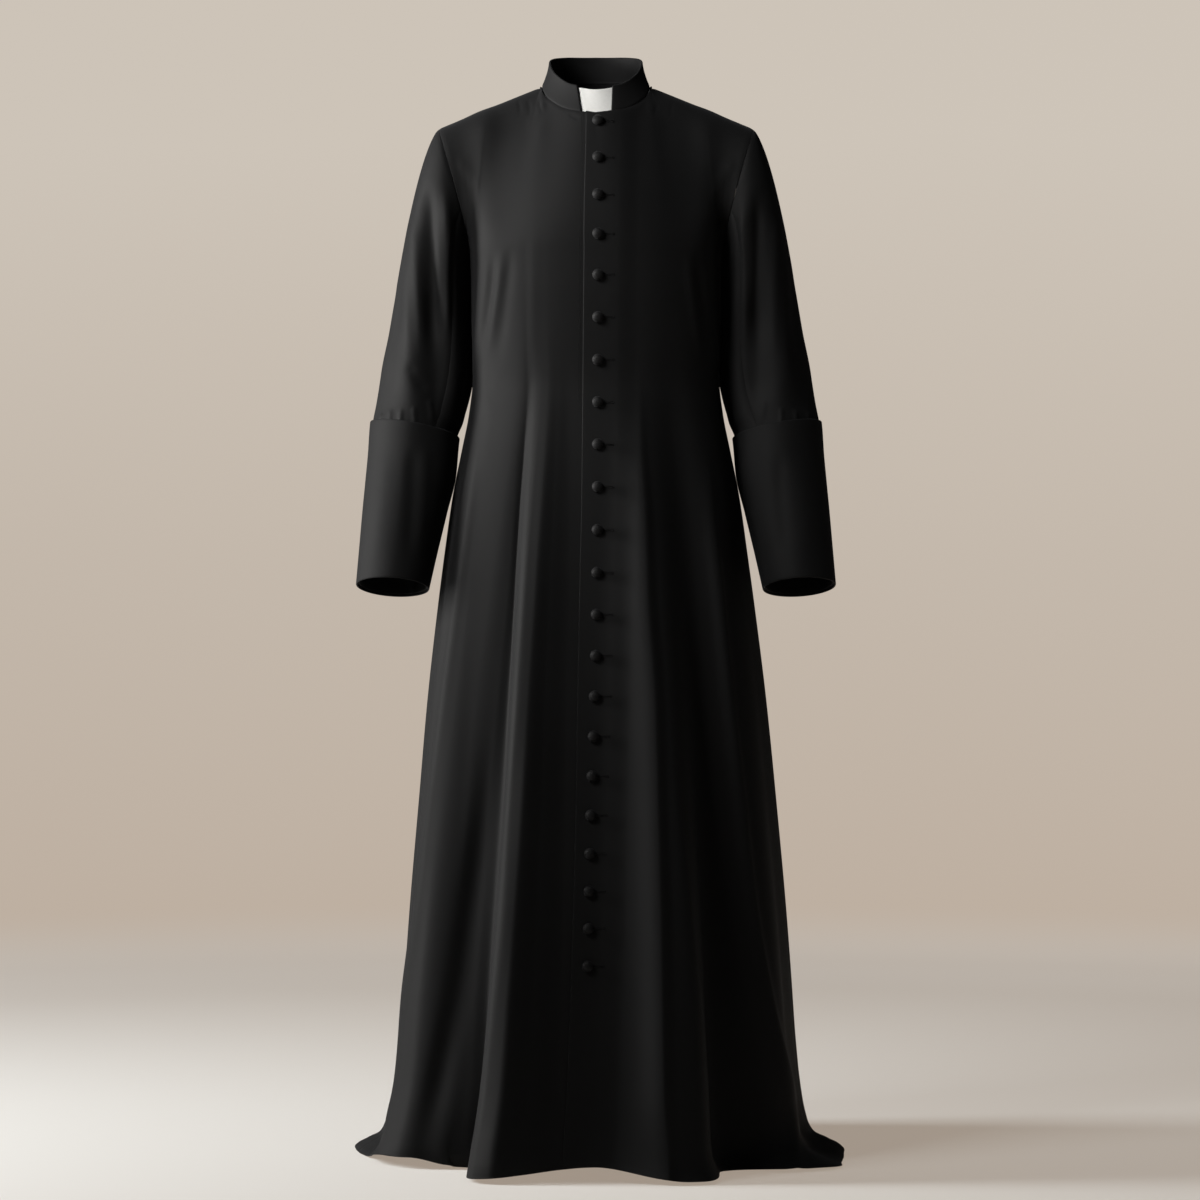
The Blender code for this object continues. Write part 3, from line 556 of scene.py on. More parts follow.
CREASE_STEPS, CREASE_REACH = 13, 3.2  # points along a crease, and how many widths away it ends
CREASE_FADE_IN, CREASE_FADE_OUT = 0.25, 0.3  # shares of its length


def crease_rise(points, creases):
    """Adds for each crease its rise times a bell of the distance to its line, and times a fade to
    nothing at both of its ends. The line is the cubic through its four points."""
    seen = points[..., ::2].reshape(-1, 2)
    total = np.zeros(len(seen))
    t = np.linspace(0, 1, CREASE_STEPS)
    weights = np.stack(
        [
            -4.5 * (t - 1 / 3) * (t - 2 / 3) * (t - 1),
            13.5 * t * (t - 2 / 3) * (t - 1),
            -13.5 * t * (t - 1 / 3) * (t - 1),
            4.5 * t * (t - 1 / 3) * (t - 2 / 3),
        ]
    )
    for crease in creases:
        corners = np.array([[crease[f"x{i}"], crease[f"z{i}"]] for i in range(4)])
        line = weights.T @ corners
        reach = CREASE_REACH * crease["width"]
        near = ((seen > line.min(0) - reach) & (seen < line.max(0) + reach)).all(axis=1)
        here = seen[near][:, None]
        run = np.diff(line, axis=0)
        along = np.clip(np.sum((here - line[:-1]) * run, -1) / np.sum(run * run, -1), 0, 1)
        away = np.linalg.norm(here - line[:-1] - along[..., None] * run, axis=-1)
        nearest = away.argmin(axis=1)
        rows = np.arange(len(nearest))
        share = (nearest + along[rows, nearest]) / len(run)
        fade = ease(share / CREASE_FADE_IN) * ease((1 - share) / CREASE_FADE_OUT)
        total[near] += crease["rise"] * fade * np.exp(-((away[rows, nearest] / crease["width"]) ** 2))
    return total.reshape(points.shape[:-1])


def outward(grid, round_tube=False):
    """Unit normals of a grid of points, turned to point away from the middle of each row."""
    if round_tube:
        across = np.roll(grid, -1, axis=1) - np.roll(grid, 1, axis=1)
    else:
        across = np.gradient(grid, axis=1)
    normals = unit(np.cross(across, np.gradient(grid, axis=0)))
    inner = grid - grid.mean(axis=1, keepdims=True)
    return normals if np.sum(normals * inner) > 0 else -normals


def arc_lengths(grid):
    """The cloth's own measure in metres: length along each row, and length up each column."""
    rows, columns = grid.shape[:2]
    across = np.zeros((rows, columns))
    across[:, 1:] = np.cumsum(np.linalg.norm(np.diff(grid, axis=1), axis=-1), axis=1)
    across -= across[:, columns // 2 : columns // 2 + 1]
    up = np.zeros((rows, columns))
    up[1:] = np.cumsum(np.linalg.norm(np.diff(grid, axis=0), axis=-1), axis=0)
    return np.stack([across, up], axis=-1)


def show(name, points, faces, uv, material, nodes):
    """Makes a smooth mesh object of points and faces with its own cloth measure as UV, which rides on
    the body and stands for its solids, where it has any."""
    mesh = bpy.data.meshes.new(name)
    mesh.from_pydata(points.tolist(), [], faces)
    layer = mesh.uv_layers.new(name="cloth")
    corner = np.empty(len(mesh.loops), np.int32)
    mesh.loops.foreach_get("vertex_index", corner)
    layer.data.foreach_set("uv", uv[corner].astype(np.float32).ravel())
    mesh.shade_smooth()
    mesh.materials.append(material)
    piece = bpy.data.objects.new(name, mesh)
    bpy.context.scene.collection.objects.link(piece)
    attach(piece, "root")
    if nodes:
        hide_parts(*nodes)
    return piece


EDGE_OVERLAP = 0.00015  # how far a sewn edge presses into its neighbour
SEWN = 0.0003  # the rounding of an edge that is sewn to another


def rim(grid, normals, edge_out, thickness, radius):
    """Three points round an edge: on an eighth of a circle, at the middle of the wall, and on an
    eighth of a circle again. With a radius of half the wall they lie on half a circle."""
    corner = radius * (1 - np.sqrt(0.5))
    steps = (
        (corner, radius * np.sqrt(0.5)),
        (thickness / 2, radius),
        (thickness - corner, radius * np.sqrt(0.5)),
    )
    return np.stack([grid - normals * depth + edge_out * out for depth, out in steps])


def shell(name, outer, thickness, material, nodes, round_tube=False, normals=None, edges=None):
    """A closed wall. Its inner side lies the thickness inside the outer along the normals, and each
    edge (foot, top, first column, last column) is drawn in by its radius and rounded by as much."""
    rows, columns = outer.shape[:2]
    grid = outer.copy()
    normals = outward(grid, round_tube) if normals is None else normals
    foot, top, first, last = edges or (thickness / 2,) * 4
    radius = np.zeros((rows, columns, 1))
    grid[0] += (foot - EDGE_OVERLAP) * unit(outer[1] - outer[0])
    grid[-1] += (top - EDGE_OVERLAP) * unit(outer[-2] - outer[-1])
    if not round_tube:
        grid[:, 0] += (first - EDGE_OVERLAP) * unit(outer[:, 1] - outer[:, 0])
        grid[:, -1] += (last - EDGE_OVERLAP) * unit(outer[:, -2] - outer[:, -1])
        radius[:, 0], radius[:, -1] = first, last
    radius[0], radius[-1] = foot, top
    inner = grid - normals * thickness
    measure = arc_lengths(grid)
    index = np.arange(rows * columns).reshape(rows, columns)
    if round_tube:
        loops = [index[0], index[-1]]
        index = np.concatenate([index, index[:, :1]], axis=1)
        outs = [unit(outer[0] - outer[1]), unit(outer[-1] - outer[-2])]
    else:
        loops = [np.concatenate([index[0], index[1:, -1], index[-1, -2::-1], index[-2:0:-1, 0]])]
        push = np.zeros_like(outer)
        push[0] += unit(outer[0] - outer[1])
        push[-1] += unit(outer[-1] - outer[-2])
        push[:, 0] += unit(outer[:, 0] - outer[:, 1])
        push[:, -1] += unit(outer[:, -1] - outer[:, -2])
        outs = [unit(push.reshape(-1, 3)[loops[0]])]
    under = index + rows * columns
    quads = [
        np.stack([index[:-1, :-1], index[:-1, 1:], index[1:, 1:], index[1:, :-1]], -1).reshape(-1, 4),
        np.stack([under[:-1, :-1], under[1:, :-1], under[1:, 1:], under[:-1, 1:]], -1).reshape(-1, 4),
    ]
    points = [grid.reshape(-1, 3), inner.reshape(-1, 3)]
    uv = [measure.reshape(-1, 2), measure.reshape(-1, 2)]
    count = 2 * rows * columns
    for number, (loop, out) in enumerate(zip(loops, outs)):
        edge, flat = grid.reshape(-1, 3)[loop], normals.reshape(-1, 3)[loop]
        along = unit(flat)
        out = unit(out - along * np.sum(out * along, -1, keepdims=True))
        steps = rim(edge, flat, out, thickness, radius.reshape(-1, 1)[loop])
        size = len(loop)
        rings = [loop] + [count + k * size + np.arange(size) for k in range(3)]
        rings.append(loop + rows * columns)
        for a, b in zip(rings[:-1], rings[1:]):
            c, d = np.roll(b, -1), np.roll(a, -1)
            quad = np.stack([a, b, c, d], axis=-1)
            quads.append(quad if number == 0 else quad[:, ::-1])
        points.append(steps.reshape(-1, 3))
        uv.append(np.tile(measure.reshape(-1, 2)[loop], (3, 1)))
        count += 3 * size
    points, faces = np.concatenate(points), np.concatenate(quads)
    corners = points[faces]
    volume = np.sum(corners[:, 0] * np.cross(corners[:, 1], corners[:, 2]))
    volume += np.sum(corners[:, 0] * np.cross(corners[:, 2], corners[:, 3]))
    if volume < 0:
        faces = faces[:, ::-1]
    return show(name, points, faces.tolist(), np.concatenate(uv), material, nodes)


def sewn_down(distance, depth=0.0009, width=0.0035):
    """How far cloth dips at a sewn edge: the depth times a bell of the distance to the edge."""
    return -depth * np.exp(-((distance / width) ** 2))


def edge_distances(grid):
    """Distance along the cloth from the first column, the last column and the top row."""
    measure = arc_lengths(grid)
    across = measure[..., 0] - measure[:, :1, 0]
    up = measure[-1:, :, 1] - measure[..., 1]
    return across, across[:, -1:] - across, up


def node_group(name, inputs, outputs):
    """An empty shader group with named sockets, and its two end nodes."""
    group = bpy.data.node_groups.new(name, "ShaderNodeTree")
    for kind, label, value in inputs:
        socket = group.interface.new_socket(name=label, in_out="INPUT", socket_type=kind)
        if value is not None:
            socket.default_value = value
    for kind, label in outputs:
        group.interface.new_socket(name=label, in_out="OUTPUT", socket_type=kind)
    return group, group.nodes.new("NodeGroupInput"), group.nodes.new("NodeGroupOutput")


def maths(tree, operation, first, second=None, third=None):
    """A maths node on sockets or plain numbers."""
    node = tree.nodes.new("ShaderNodeMath")
    node.operation = operation
    for slot_number, value in enumerate((first, second, third)):
        if value is None:
            continue
        if isinstance(value, (int, float)):
            node.inputs[slot_number].default_value = value
        else:
            tree.links.new(value, node.inputs[slot_number])
    return node.outputs[0]


def noise(tree, vector, scale, detail, roughness=0.5):
    """A noise texture's value at a vector."""
    node = tree.nodes.new("ShaderNodeTexNoise")
    node.inputs["Scale"].default_value = scale
    node.inputs["Detail"].default_value = detail
    node.inputs["Roughness"].default_value = roughness
    tree.links.new(vector, node.inputs["Vector"])
    return node.outputs["Fac"]


def blend(tree, amount, first, second):
    """A colour between two: the first times one less the amount, plus the second times the amount."""
    node = tree.nodes.new("ShaderNodeMix")
    node.data_type = "RGBA"
    tree.links.new(amount, node.inputs["Factor"])
    node.inputs["A"].default_value = (*first, 1)
    node.inputs["B"].default_value = (*second, 1)
    return node.outputs["Result"]


def bumped(tree, height, strength, distance):
    """A normal that leans with the slope of a height."""
    node = tree.nodes.new("ShaderNodeBump")
    node.inputs["Strength"].default_value = strength
    node.inputs["Distance"].default_value = distance
    tree.links.new(height, node.inputs["Height"])
    return node.outputs["Normal"]


def new_material(name):
    """A material, its node tree, its shader and the node of its coordinates."""
    material = bpy.data.materials.new(name)
    material.use_nodes = True
    tree = material.node_tree
    return material, tree, tree.nodes["Principled BSDF"], tree.nodes.new("ShaderNodeTexCoord")


FULL_TURN = 6.2832
TWILL_SLOPE, WEFT_SHARE = 0.55, 0.35
SLUB_SCALE, SLUB_HEIGHT = 420.0, 2.4
FLECK_SCALE, FLECK_LIMIT, FLECK_GAIN = 1900.0, 0.60, 6.0


def make_worsted():
    """Twill weave: a wave across the diagonal of the cloth's own measure, broken by the threads and
    by slubs. Cloud is a slow change over the garment, and fleck the odd pale fibre."""
    group, start, end = node_group(
        "worsted_twill",
        [("NodeSocketVector", "Cloth", None), ("NodeSocketVector", "Place", None),
         ("NodeSocketFloat", "Threads per metre", 1500.0)],
        [("NodeSocketFloat", "Height"), ("NodeSocketFloat", "Fleck"), ("NodeSocketFloat", "Cloud")],
    )
    split = group.nodes.new("ShaderNodeSeparateXYZ")
    group.links.new(start.outputs["Cloth"], split.inputs[0])
    across, up = split.outputs[0], split.outputs[1]
    threads = start.outputs["Threads per metre"]
    diagonal = maths(group, "ADD", across, maths(group, "MULTIPLY", up, TWILL_SLOPE))
    turn = maths(group, "MULTIPLY", maths(group, "MULTIPLY", diagonal, threads), FULL_TURN)
    rib = maths(group, "SINE", turn)
    cross_turn = maths(group, "MULTIPLY", maths(group, "MULTIPLY", up, threads), FULL_TURN)
    weft = maths(group, "MULTIPLY", maths(group, "SINE", cross_turn), WEFT_SHARE)
    slub = noise(group, start.outputs["Cloth"], SLUB_SCALE, 2.0)
    slubs = maths(group, "MULTIPLY", slub, SLUB_HEIGHT)
    height = maths(group, "ADD", maths(group, "ADD", rib, weft), slubs)
    group.links.new(height, end.inputs["Height"])
    speck = noise(group, start.outputs["Cloth"], FLECK_SCALE, 1.0)
    fleck = maths(group, "MULTIPLY", maths(group, "SUBTRACT", speck, FLECK_LIMIT), FLECK_GAIN)
    clamp = group.nodes.new("ShaderNodeClamp")
    group.links.new(fleck, clamp.inputs[0])
    group.links.new(clamp.outputs[0], end.inputs["Fleck"])
    group.links.new(noise(group, start.outputs["Place"], 5.0, 3.0), end.inputs["Cloud"])
    return group


worsted = make_worsted()


def wool(name, dark, pale, roughness, sheen, threads=1500.0, weave_depth=0.10):
    """Black worsted: the two tones mixed by cloud and fleck, roughness that follows the cloud, a bump
    from the twill, and a soft sheen."""
    material, tree, shader, place = new_material(name)
    weave = tree.nodes.new("ShaderNodeGroup")
    weave.node_tree = worsted
    weave.inputs["Threads per metre"].default_value = threads
    tree.links.new(place.outputs["UV"], weave.inputs["Cloth"])
    tree.links.new(place.outputs["Object"], weave.inputs["Place"])
    amount = maths(tree, "MULTIPLY_ADD", weave.outputs["Fleck"], 0.22, weave.outputs["Cloud"])
    tree.links.new(blend(tree, amount, dark, pale), shader.inputs["Base Color"])
    rough = maths(tree, "MULTIPLY_ADD", weave.outputs["Cloud"], 0.12, roughness - 0.06)
    tree.links.new(rough, shader.inputs["Roughness"])
    normal = bumped(tree, weave.outputs["Height"], weave_depth, 0.0004)
    tree.links.new(normal, shader.inputs["Normal"])
    shader.inputs["Specular IOR Level"].default_value = 0.146
    shader.inputs["Sheen Weight"].default_value = sheen
    shader.inputs["Sheen Roughness"].default_value = 0.40
    shader.inputs["Sheen Tint"].default_value = (0.93, 0.95, 1.0, 1)
    return material


DARK_WOOL, PALE_WOOL, WOOL_SHEEN = (0.0030, 0.0030, 0.0032), (0.0076, 0.0077, 0.0080), 0.0625
body_wool = wool("body_wool", DARK_WOOL, PALE_WOOL, 0.70, WOOL_SHEEN)
FRONT_COLUMNS = table("share side", (0, 0), (0.25, 0.17), (0.62, 0.45), (1, 1))
FRONT_COLUMN_COUNT = 150
front_spread = read(FRONT_COLUMNS, "side", np.linspace(0, 1, FRONT_COLUMN_COUNT))
edge_side = side_at(closing_x(panel_levels), panel_levels)
lap_side = side_at(closing_x(panel_levels) + LAP_WIDTH, panel_levels)


SETTLE_PASSES, SETTLE_FOOT, SETTLE_TOP = 110, 0.12, 0.30


def smoothed(points, passes):
    """Each point moves half way to the mean of its two neighbours in the row, pass after pass."""
    for _ in range(passes):
        points[:, 1:-1] = points[:, 1:-1] / 2 + (points[:, :-2] + points[:, 2:]) / 4
    return points


def settled(points, levels):
    """Cloth doesn't hold the turn of the neckline for long: it takes its smoothed form, by a share that
    grows in above the underarm and fades out at the top edge."""
    smooth = smoothed(points.copy(), SETTLE_PASSES)
    share = ease(levels / SETTLE_FOOT) * ease((1 - levels) / SETTLE_TOP)
    return points + (smooth - points) * share[..., None]


# How far the hem's two side tips are drawn outwards, by how far back a point lies, and how much of
# that each level takes, with how far it is lifted
HEM_TIPS = table(
    "y right left",
    (-0.150, 0.0000, 0.0000),
    (-0.120, 0.0000, -0.0030),
    (-0.089, 0.0000, 0.0020),
    (-0.059, 0.0000, 0.0060),
    (-0.036, -0.0030, 0.0050),
    (-0.018, -0.0025, 0.0030),
    (0.000, -0.0037, 0.0010),
    (0.018, -0.0045, -0.0015),
    (0.037, -0.0045, -0.0045),
    (0.060, -0.0010, -0.0075),
    (0.090, 0.0060, -0.0040),
    (0.116, 0.0075, 0.0020),
    (0.140, 0.0040, 0.0010),
    (0.170, 0.0000, 0.0000),
)
TIP_LEVELS = table(
    "level spread lift",
    (-1.310, 1.0, 0.0000),
    (-1.306, 1.0, 0.0032),
    (-1.300, 0.9, 0.0056),
    (-1.292, 0.6, 0.0036),
    (-1.280, 0.3, 0.0004),
    (-1.260, 0.0, 0.0000),
)
TIP_START, TIP_FULL, TIP_MIDDLE, TIP_DEPTH = 0.24, 0.29, 0.03, 0.075
# Beside the foot of the collar the shoulder seams lie flat: where, how far they dip, over how much
NECK_CORNER_X, NECK_CORNER_Y, NECK_CORNER_DIP = 0.0802, 0.004, 0.0014
NECK_CORNER_WIDTH, NECK_CORNER_DEPTH = 0.0045, 0.014
SEAM_FADE, TOP_FADE = 0.10, 0.06  # over which folds and creases fade out at the seams
SEAM_DIP, ARMHOLE_DIP = 0.0004, 0.0010


def hem_tips(points, levels):
    """Rounds off the hem's side tips: a shift outwards and a lift, both growing from TIP_START to
    TIP_FULL off the middle, and the lift times a bell of the distance from TIP_MIDDLE."""
    x, y = points[..., 0], points[..., 1]
    near = ease((np.abs(x) - TIP_START) / (TIP_FULL - TIP_START))
    outwards = np.where(x < 0, -read(HEM_TIPS, "right", y), read(HEM_TIPS, "left", y))
    shift = np.zeros_like(points)
    shift[..., 0] = outwards * near * read(TIP_LEVELS, "spread", levels)
    bell = np.exp(-(((y - TIP_MIDDLE) / TIP_DEPTH) ** 2))
    shift[..., 2] = bell * near * read(TIP_LEVELS, "lift", levels)
    return points + shift


def panel_points(sides, front, creases):
    """A panel's outer side: the cloth, and its rise along its normal from the long lines and short
    creases, which fade out at the seams, and its dip where it is sewn down. Its armhole edge takes the
    seam's own line. Returns the points, their normals and that rise."""
    points = hem_tips(settled(cloth(sides, panel_levels, front), panel_levels), panel_levels)
    corner = ((np.abs(points[..., 0]) - NECK_CORNER_X) / NECK_CORNER_WIDTH) ** 2
    corner = corner + ((points[..., 1] - NECK_CORNER_Y) / NECK_CORNER_DEPTH) ** 2
    points[..., 2] -= NECK_CORNER_DIP * np.exp(-corner)
    normals = cloth_normal(sides, panel_levels, front)
    clear = ease((1 - np.abs(sides)) / SEAM_FADE) * ease((1 - panel_levels) / TOP_FADE)
    rise = crease_rise(points, creases) * clear
    if front:
        rise = rise + hanging_rise(points) * clear
    column = -1 if sides[0, -1] == 1 or sides[0, 0] == 0 else 0
    upper = panel_levels[:, 0] > 0
    line, _, opened = armhole_seam(panel_levels[upper, 0], front)
    normals[upper, column] = line * np.array([np.sign(sides[0, column]), 1, 1])
    depth = np.full(sides.shape, SEAM_DIP)
    depth[upper] = ARMHOLE_DIP * opened[:, None]
    first, last, from_top = edge_distances(points)
    outer, inner = (last, first) if column == -1 else (first, last)
    rise = rise + sewn_down(outer, depth) + sewn_down(from_top)
    if not front:
        rise = rise + sewn_down(inner)
    return points, normals, rise


right_sides = (lap_side - (1 + lap_side) * front_spread)[:, ::-1]
right_sides[:, 0] = -1
points, normals, rise = panel_points(right_sides, True, FRONT_CREASES)
front_right = shell(
    "front_right", points + normals * rise[..., None], CLOTH, body_wool, ["front_right"],
    normals=normals, edges=(CLOTH / 2, SEWN, SEWN, CLOTH / 2),
)

# Left front: the same cut, but it laps over the right front and ends in a turned edge down the whole
# length. Its buttonholes are worked in from that edge.
left_sides = edge_side + (1 - edge_side) * front_spread
left_sides[:, -1] = 1
points, normals, rise = panel_points(left_sides, True, FRONT_CREASES)
past = (points[..., 0] - closing_x(panel_levels) - LAP_WIDTH - 0.006) / LAP_FADE
rise = rise + LAP_RISE * (1 - ease(past))
front_left = shell(
    "front_left", points + normals * rise[..., None], CLOTH, body_wool, ["front_left"],
    normals=normals, edges=(CLOTH / 2, SEWN, 0.0007, SEWN),
)

# Backs: two lengths of the same worsted, sewn together down the centre and to the fronts at the
# sides and shoulders. They hang plainly, with soft folds below the waist.
BACK_CREASES = table(
    "x0 z0 x1 z1 x2 z2 x3 z3 width rise",
    (-0.1700, -0.2600, -0.1500, -0.2950, -0.1250, -0.3200, -0.0950, -0.3350, 0.0110, 0.0020),
    (0.1700, -0.2650, 0.1480, -0.2980, 0.1240, -0.3260, 0.0900, -0.3420, 0.0110, 0.0020),
    (-0.1600, -0.4550, -0.1200, -0.4450, -0.0800, -0.4480, -0.0300, -0.4550, 0.0090, 0.0016),
    (0.1600, -0.4480, 0.1200, -0.4400, 0.0780, -0.4440, 0.0250, -0.4520, 0.0090, 0.0016),
    (-0.0700, -0.0700, -0.0850, -0.1100, -0.0950, -0.1500, -0.1000, -0.2000, 0.0110, 0.0012),
    (0.0720, -0.0720, 0.0860, -0.1120, 0.0950, -0.1560, 0.0990, -0.2050, 0.0110, 0.0012),
    (-0.1000, -0.5000, -0.1080, -0.6000, -0.1180, -0.7200, -0.1300, -0.8600, 0.0160, 0.0040),
    (0.0980, -0.5000, 0.1080, -0.6100, 0.1170, -0.7300, 0.1280, -0.8700, 0.0160, 0.0040),
    (-0.0450, -0.5300, -0.0480, -0.6500, -0.0520, -0.8000, -0.0560, -0.9600, 0.0150, -0.0030),
    (0.0450, -0.5300, 0.0480, -0.6500, 0.0510, -0.8000, 0.0550, -0.9600, 0.0150, -0.0030),
)
back_spread = np.linspace(0, 1, 96)[None, :]
for name, sides in (("back_left", back_spread), ("back_right", back_spread - 1)):
    sides = np.broadcast_to(sides, (PANEL_ROW_COUNT, back_spread.size))
    points, normals, rise = panel_points(sides, False, BACK_CREASES)
    back = shell(
        name, points + normals * rise[..., None], CLOTH, body_wool, [name], normals=normals,
        edges=(CLOTH / 2, SEWN, SEWN, SEWN),
    )

# Sleeves: each is a wide top piece and a narrow under piece of the same worsted, seamed down the
# front and the back of the arm, set into the armhole and caught in under the cuff.
SLEEVE_END_DROP = 0.7310
SLEEVE_SEAM_ANGLE = 122.4
# Creases of each sleeve as seen from the front, on the wearer's right and on the left
SLEEVE_CREASES = {
    "right": table(
        "x0 z0 x1 z1 x2 z2 x3 z3 width rise",
        (-0.2440, -0.1400, -0.2400, -0.2200, -0.2370, -0.3050, -0.2340, -0.4150, 0.0105, -0.0075),
        (-0.2180, -0.1500, -0.2140, -0.2300, -0.2110, -0.3100, -0.2140, -0.3900, 0.0075, 0.0048),
        (-0.2640, -0.1900, -0.2620, -0.2500, -0.2560, -0.3300, -0.2500, -0.4300, 0.0090, 0.0034),
        (-0.2900, -0.2900, -0.2860, -0.3300, -0.2830, -0.3800, -0.2850, -0.4300, 0.0080, -0.0016),
        (-0.2750, -0.4050, -0.2640, -0.4250, -0.2540, -0.4400, -0.2420, -0.4520, 0.0080, -0.0016),
        (-0.3110, -0.4800, -0.3120, -0.4880, -0.3130, -0.4960, -0.3140, -0.5060, 0.0030, 0.0016),
        (-0.2970, -0.4760, -0.2980, -0.4850, -0.2985, -0.4950, -0.2990, -0.5060, 0.0030, 0.0018),
        (-0.2820, -0.4740, -0.2825, -0.4840, -0.2830, -0.4950, -0.2830, -0.5060, 0.0034, 0.0018),
        (-0.2640, -0.4720, -0.2630, -0.4820, -0.2620, -0.4930, -0.2610, -0.5040, 0.0036, 0.0014),
        (-0.2420, -0.4600, -0.2400, -0.4720, -0.2380, -0.4850, -0.2360, -0.5000, 0.0042, 0.0016),
    ),
    "left": table(
        "x0 z0 x1 z1 x2 z2 x3 z3 width rise",
        (0.2350, -0.1500, 0.2340, -0.2300, 0.2330, -0.3100, 0.2330, -0.4050, 0.0100, -0.0060),
        (0.2140, -0.1700, 0.2110, -0.2400, 0.2110, -0.3200, 0.2160, -0.3900, 0.0080, 0.0034),
        (0.2600, -0.1900, 0.2600, -0.2500, 0.2580, -0.3300, 0.2600, -0.4200, 0.0100, 0.0034),
        (0.2850, -0.2600, 0.2860, -0.3200, 0.2870, -0.3800, 0.2900, -0.4400, 0.0080, -0.0016),
        (0.3060, -0.4780, 0.3080, -0.4870, 0.3090, -0.4960, 0.3100, -0.5060, 0.0032, 0.0015),
        (0.2880, -0.4750, 0.2890, -0.4850, 0.2900, -0.4950, 0.2900, -0.5060, 0.0034, 0.0018),
        (0.2680, -0.4730, 0.2680, -0.4830, 0.2680, -0.4940, 0.2670, -0.5050, 0.0036, 0.0016),
        (0.2450, -0.4620, 0.2430, -0.4740, 0.2410, -0.4860, 0.2390, -0.5000, 0.0042, 0.0015),
    ),
}
BACK_SLEEVE_CREASES = table(
    "x0 z0 x1 z1 x2 z2 x3 z3 width rise",
    (0.2050, -0.3300, 0.2250, -0.3520, 0.2500, -0.3650, 0.2800, -0.3680, 0.0100, 0.0030),
    (0.2100, -0.3750, 0.2320, -0.3960, 0.2580, -0.4060, 0.2880, -0.4060, 0.0100, 0.0030),
    (0.2180, -0.4250, 0.2380, -0.4400, 0.2620, -0.4480, 0.2900, -0.4470, 0.0090, 0.0022),
    (0.2300, -0.1800, 0.2260, -0.2300, 0.2280, -0.2800, 0.2360, -0.3300, 0.0110, -0.0024),
    (0.2600, -0.4780, 0.2610, -0.4870, 0.2620, -0.4960, 0.2630, -0.5060, 0.0036, 0.0014),
    (0.2850, -0.4780, 0.2860, -0.4870, 0.2870, -0.4960, 0.2880, -0.5060, 0.0036, 0.0014),
)


def sleeve_points(angles):
    """The left sleeve's outer side from the wrist up: the arm's sections, then the cap."""
    drops = np.concatenate([np.linspace(SLEEVE_END_DROP, 0.52, 26), np.linspace(0.518, CAP_DROP, 74)])
    arm = arm_section(*np.broadcast_arrays(angles[None, :], drops[:, None]))
    shares = np.linspace(1, 0, 50)[1:]
    cap = sleeve_cap(*np.broadcast_arrays(angles[None, :], shares[:, None]))
    return np.concatenate([arm, cap])


sleeve_wool = wool("sleeve_wool", DARK_WOOL, PALE_WOOL, 0.70, WOOL_SHEEN)
# How far the under piece swells towards the body where the two hang against each other
SLEEVE_TOUCH = table(
    "drop swell",
    (0.250, 0.0002),
    (0.262, 0.0021),
    (0.300, 0.0032),
    (0.340, 0.0032),
    (0.380, 0.0038),
    (0.405, 0.0042),
    (0.430, 0.0030),
    (0.480, 0.0000),
)
sleeve_angles = {
    "top": np.linspace(-SLEEVE_SEAM_ANGLE, SLEEVE_SEAM_ANGLE, 132),
    "under": np.linspace(SLEEVE_SEAM_ANGLE, 360 - SLEEVE_SEAM_ANGLE, 56),
}
for hand, sign in (("left", 1), ("right", -1)):
    mirror = np.array([sign, 1, 1])
    for part, angles in sleeve_angles.items():
        ring = sleeve_points(angles)
        points = ring * mirror
        normals = unit(np.cross(np.gradient(ring, axis=0), np.gradient(ring, axis=1))) * mirror
        round_front = angles % 360 <= 180
        level = 1 - np.where(round_front, angles % 360, 360 - angles % 360) / 180
        lines = [armhole_seam(level, True)[1:], armhole_seam(level, False)[1:]]
        line = np.where(round_front[:, None], lines[0][0], lines[1][0])
        opened = np.where(round_front, lines[0][1], lines[1][1])
        normals[-1] = line * mirror
        facing = ease((0.35 - normals[..., 1]) / 0.7)
        behind = BACK_SLEEVE_CREASES.copy()
        for column in ("x0", "x1", "x2", "x3"):
            behind[column] *= sign
        rise = facing * crease_rise(points, SLEEVE_CREASES[hand])
        rise = rise + (1 - facing) * crease_rise(points, behind)
        first, last, from_top = edge_distances(points)
        rise = rise * ease(from_top / 0.02) * ease(first / 0.012) * ease(last / 0.012)
        open_edge = ease(from_top / 0.012)
        rise = rise + (sewn_down(first) + sewn_down(last)) * open_edge
        rise = rise + sewn_down(from_top, ARMHOLE_DIP * opened)
        if part == "under":
            touch = np.exp(-(((angles - 180) / 34) ** 2))
            rise = rise + read(SLEEVE_TOUCH, "swell", -points[..., 2]) * touch
        name = f"sleeve_{part}_{hand}"
        sleeve = shell(
            name, points + normals * rise[..., None], CLOTH, sleeve_wool, [name],
            normals=normals, edges=(CLOTH / 2, SEWN, SEWN, SEWN),
        )

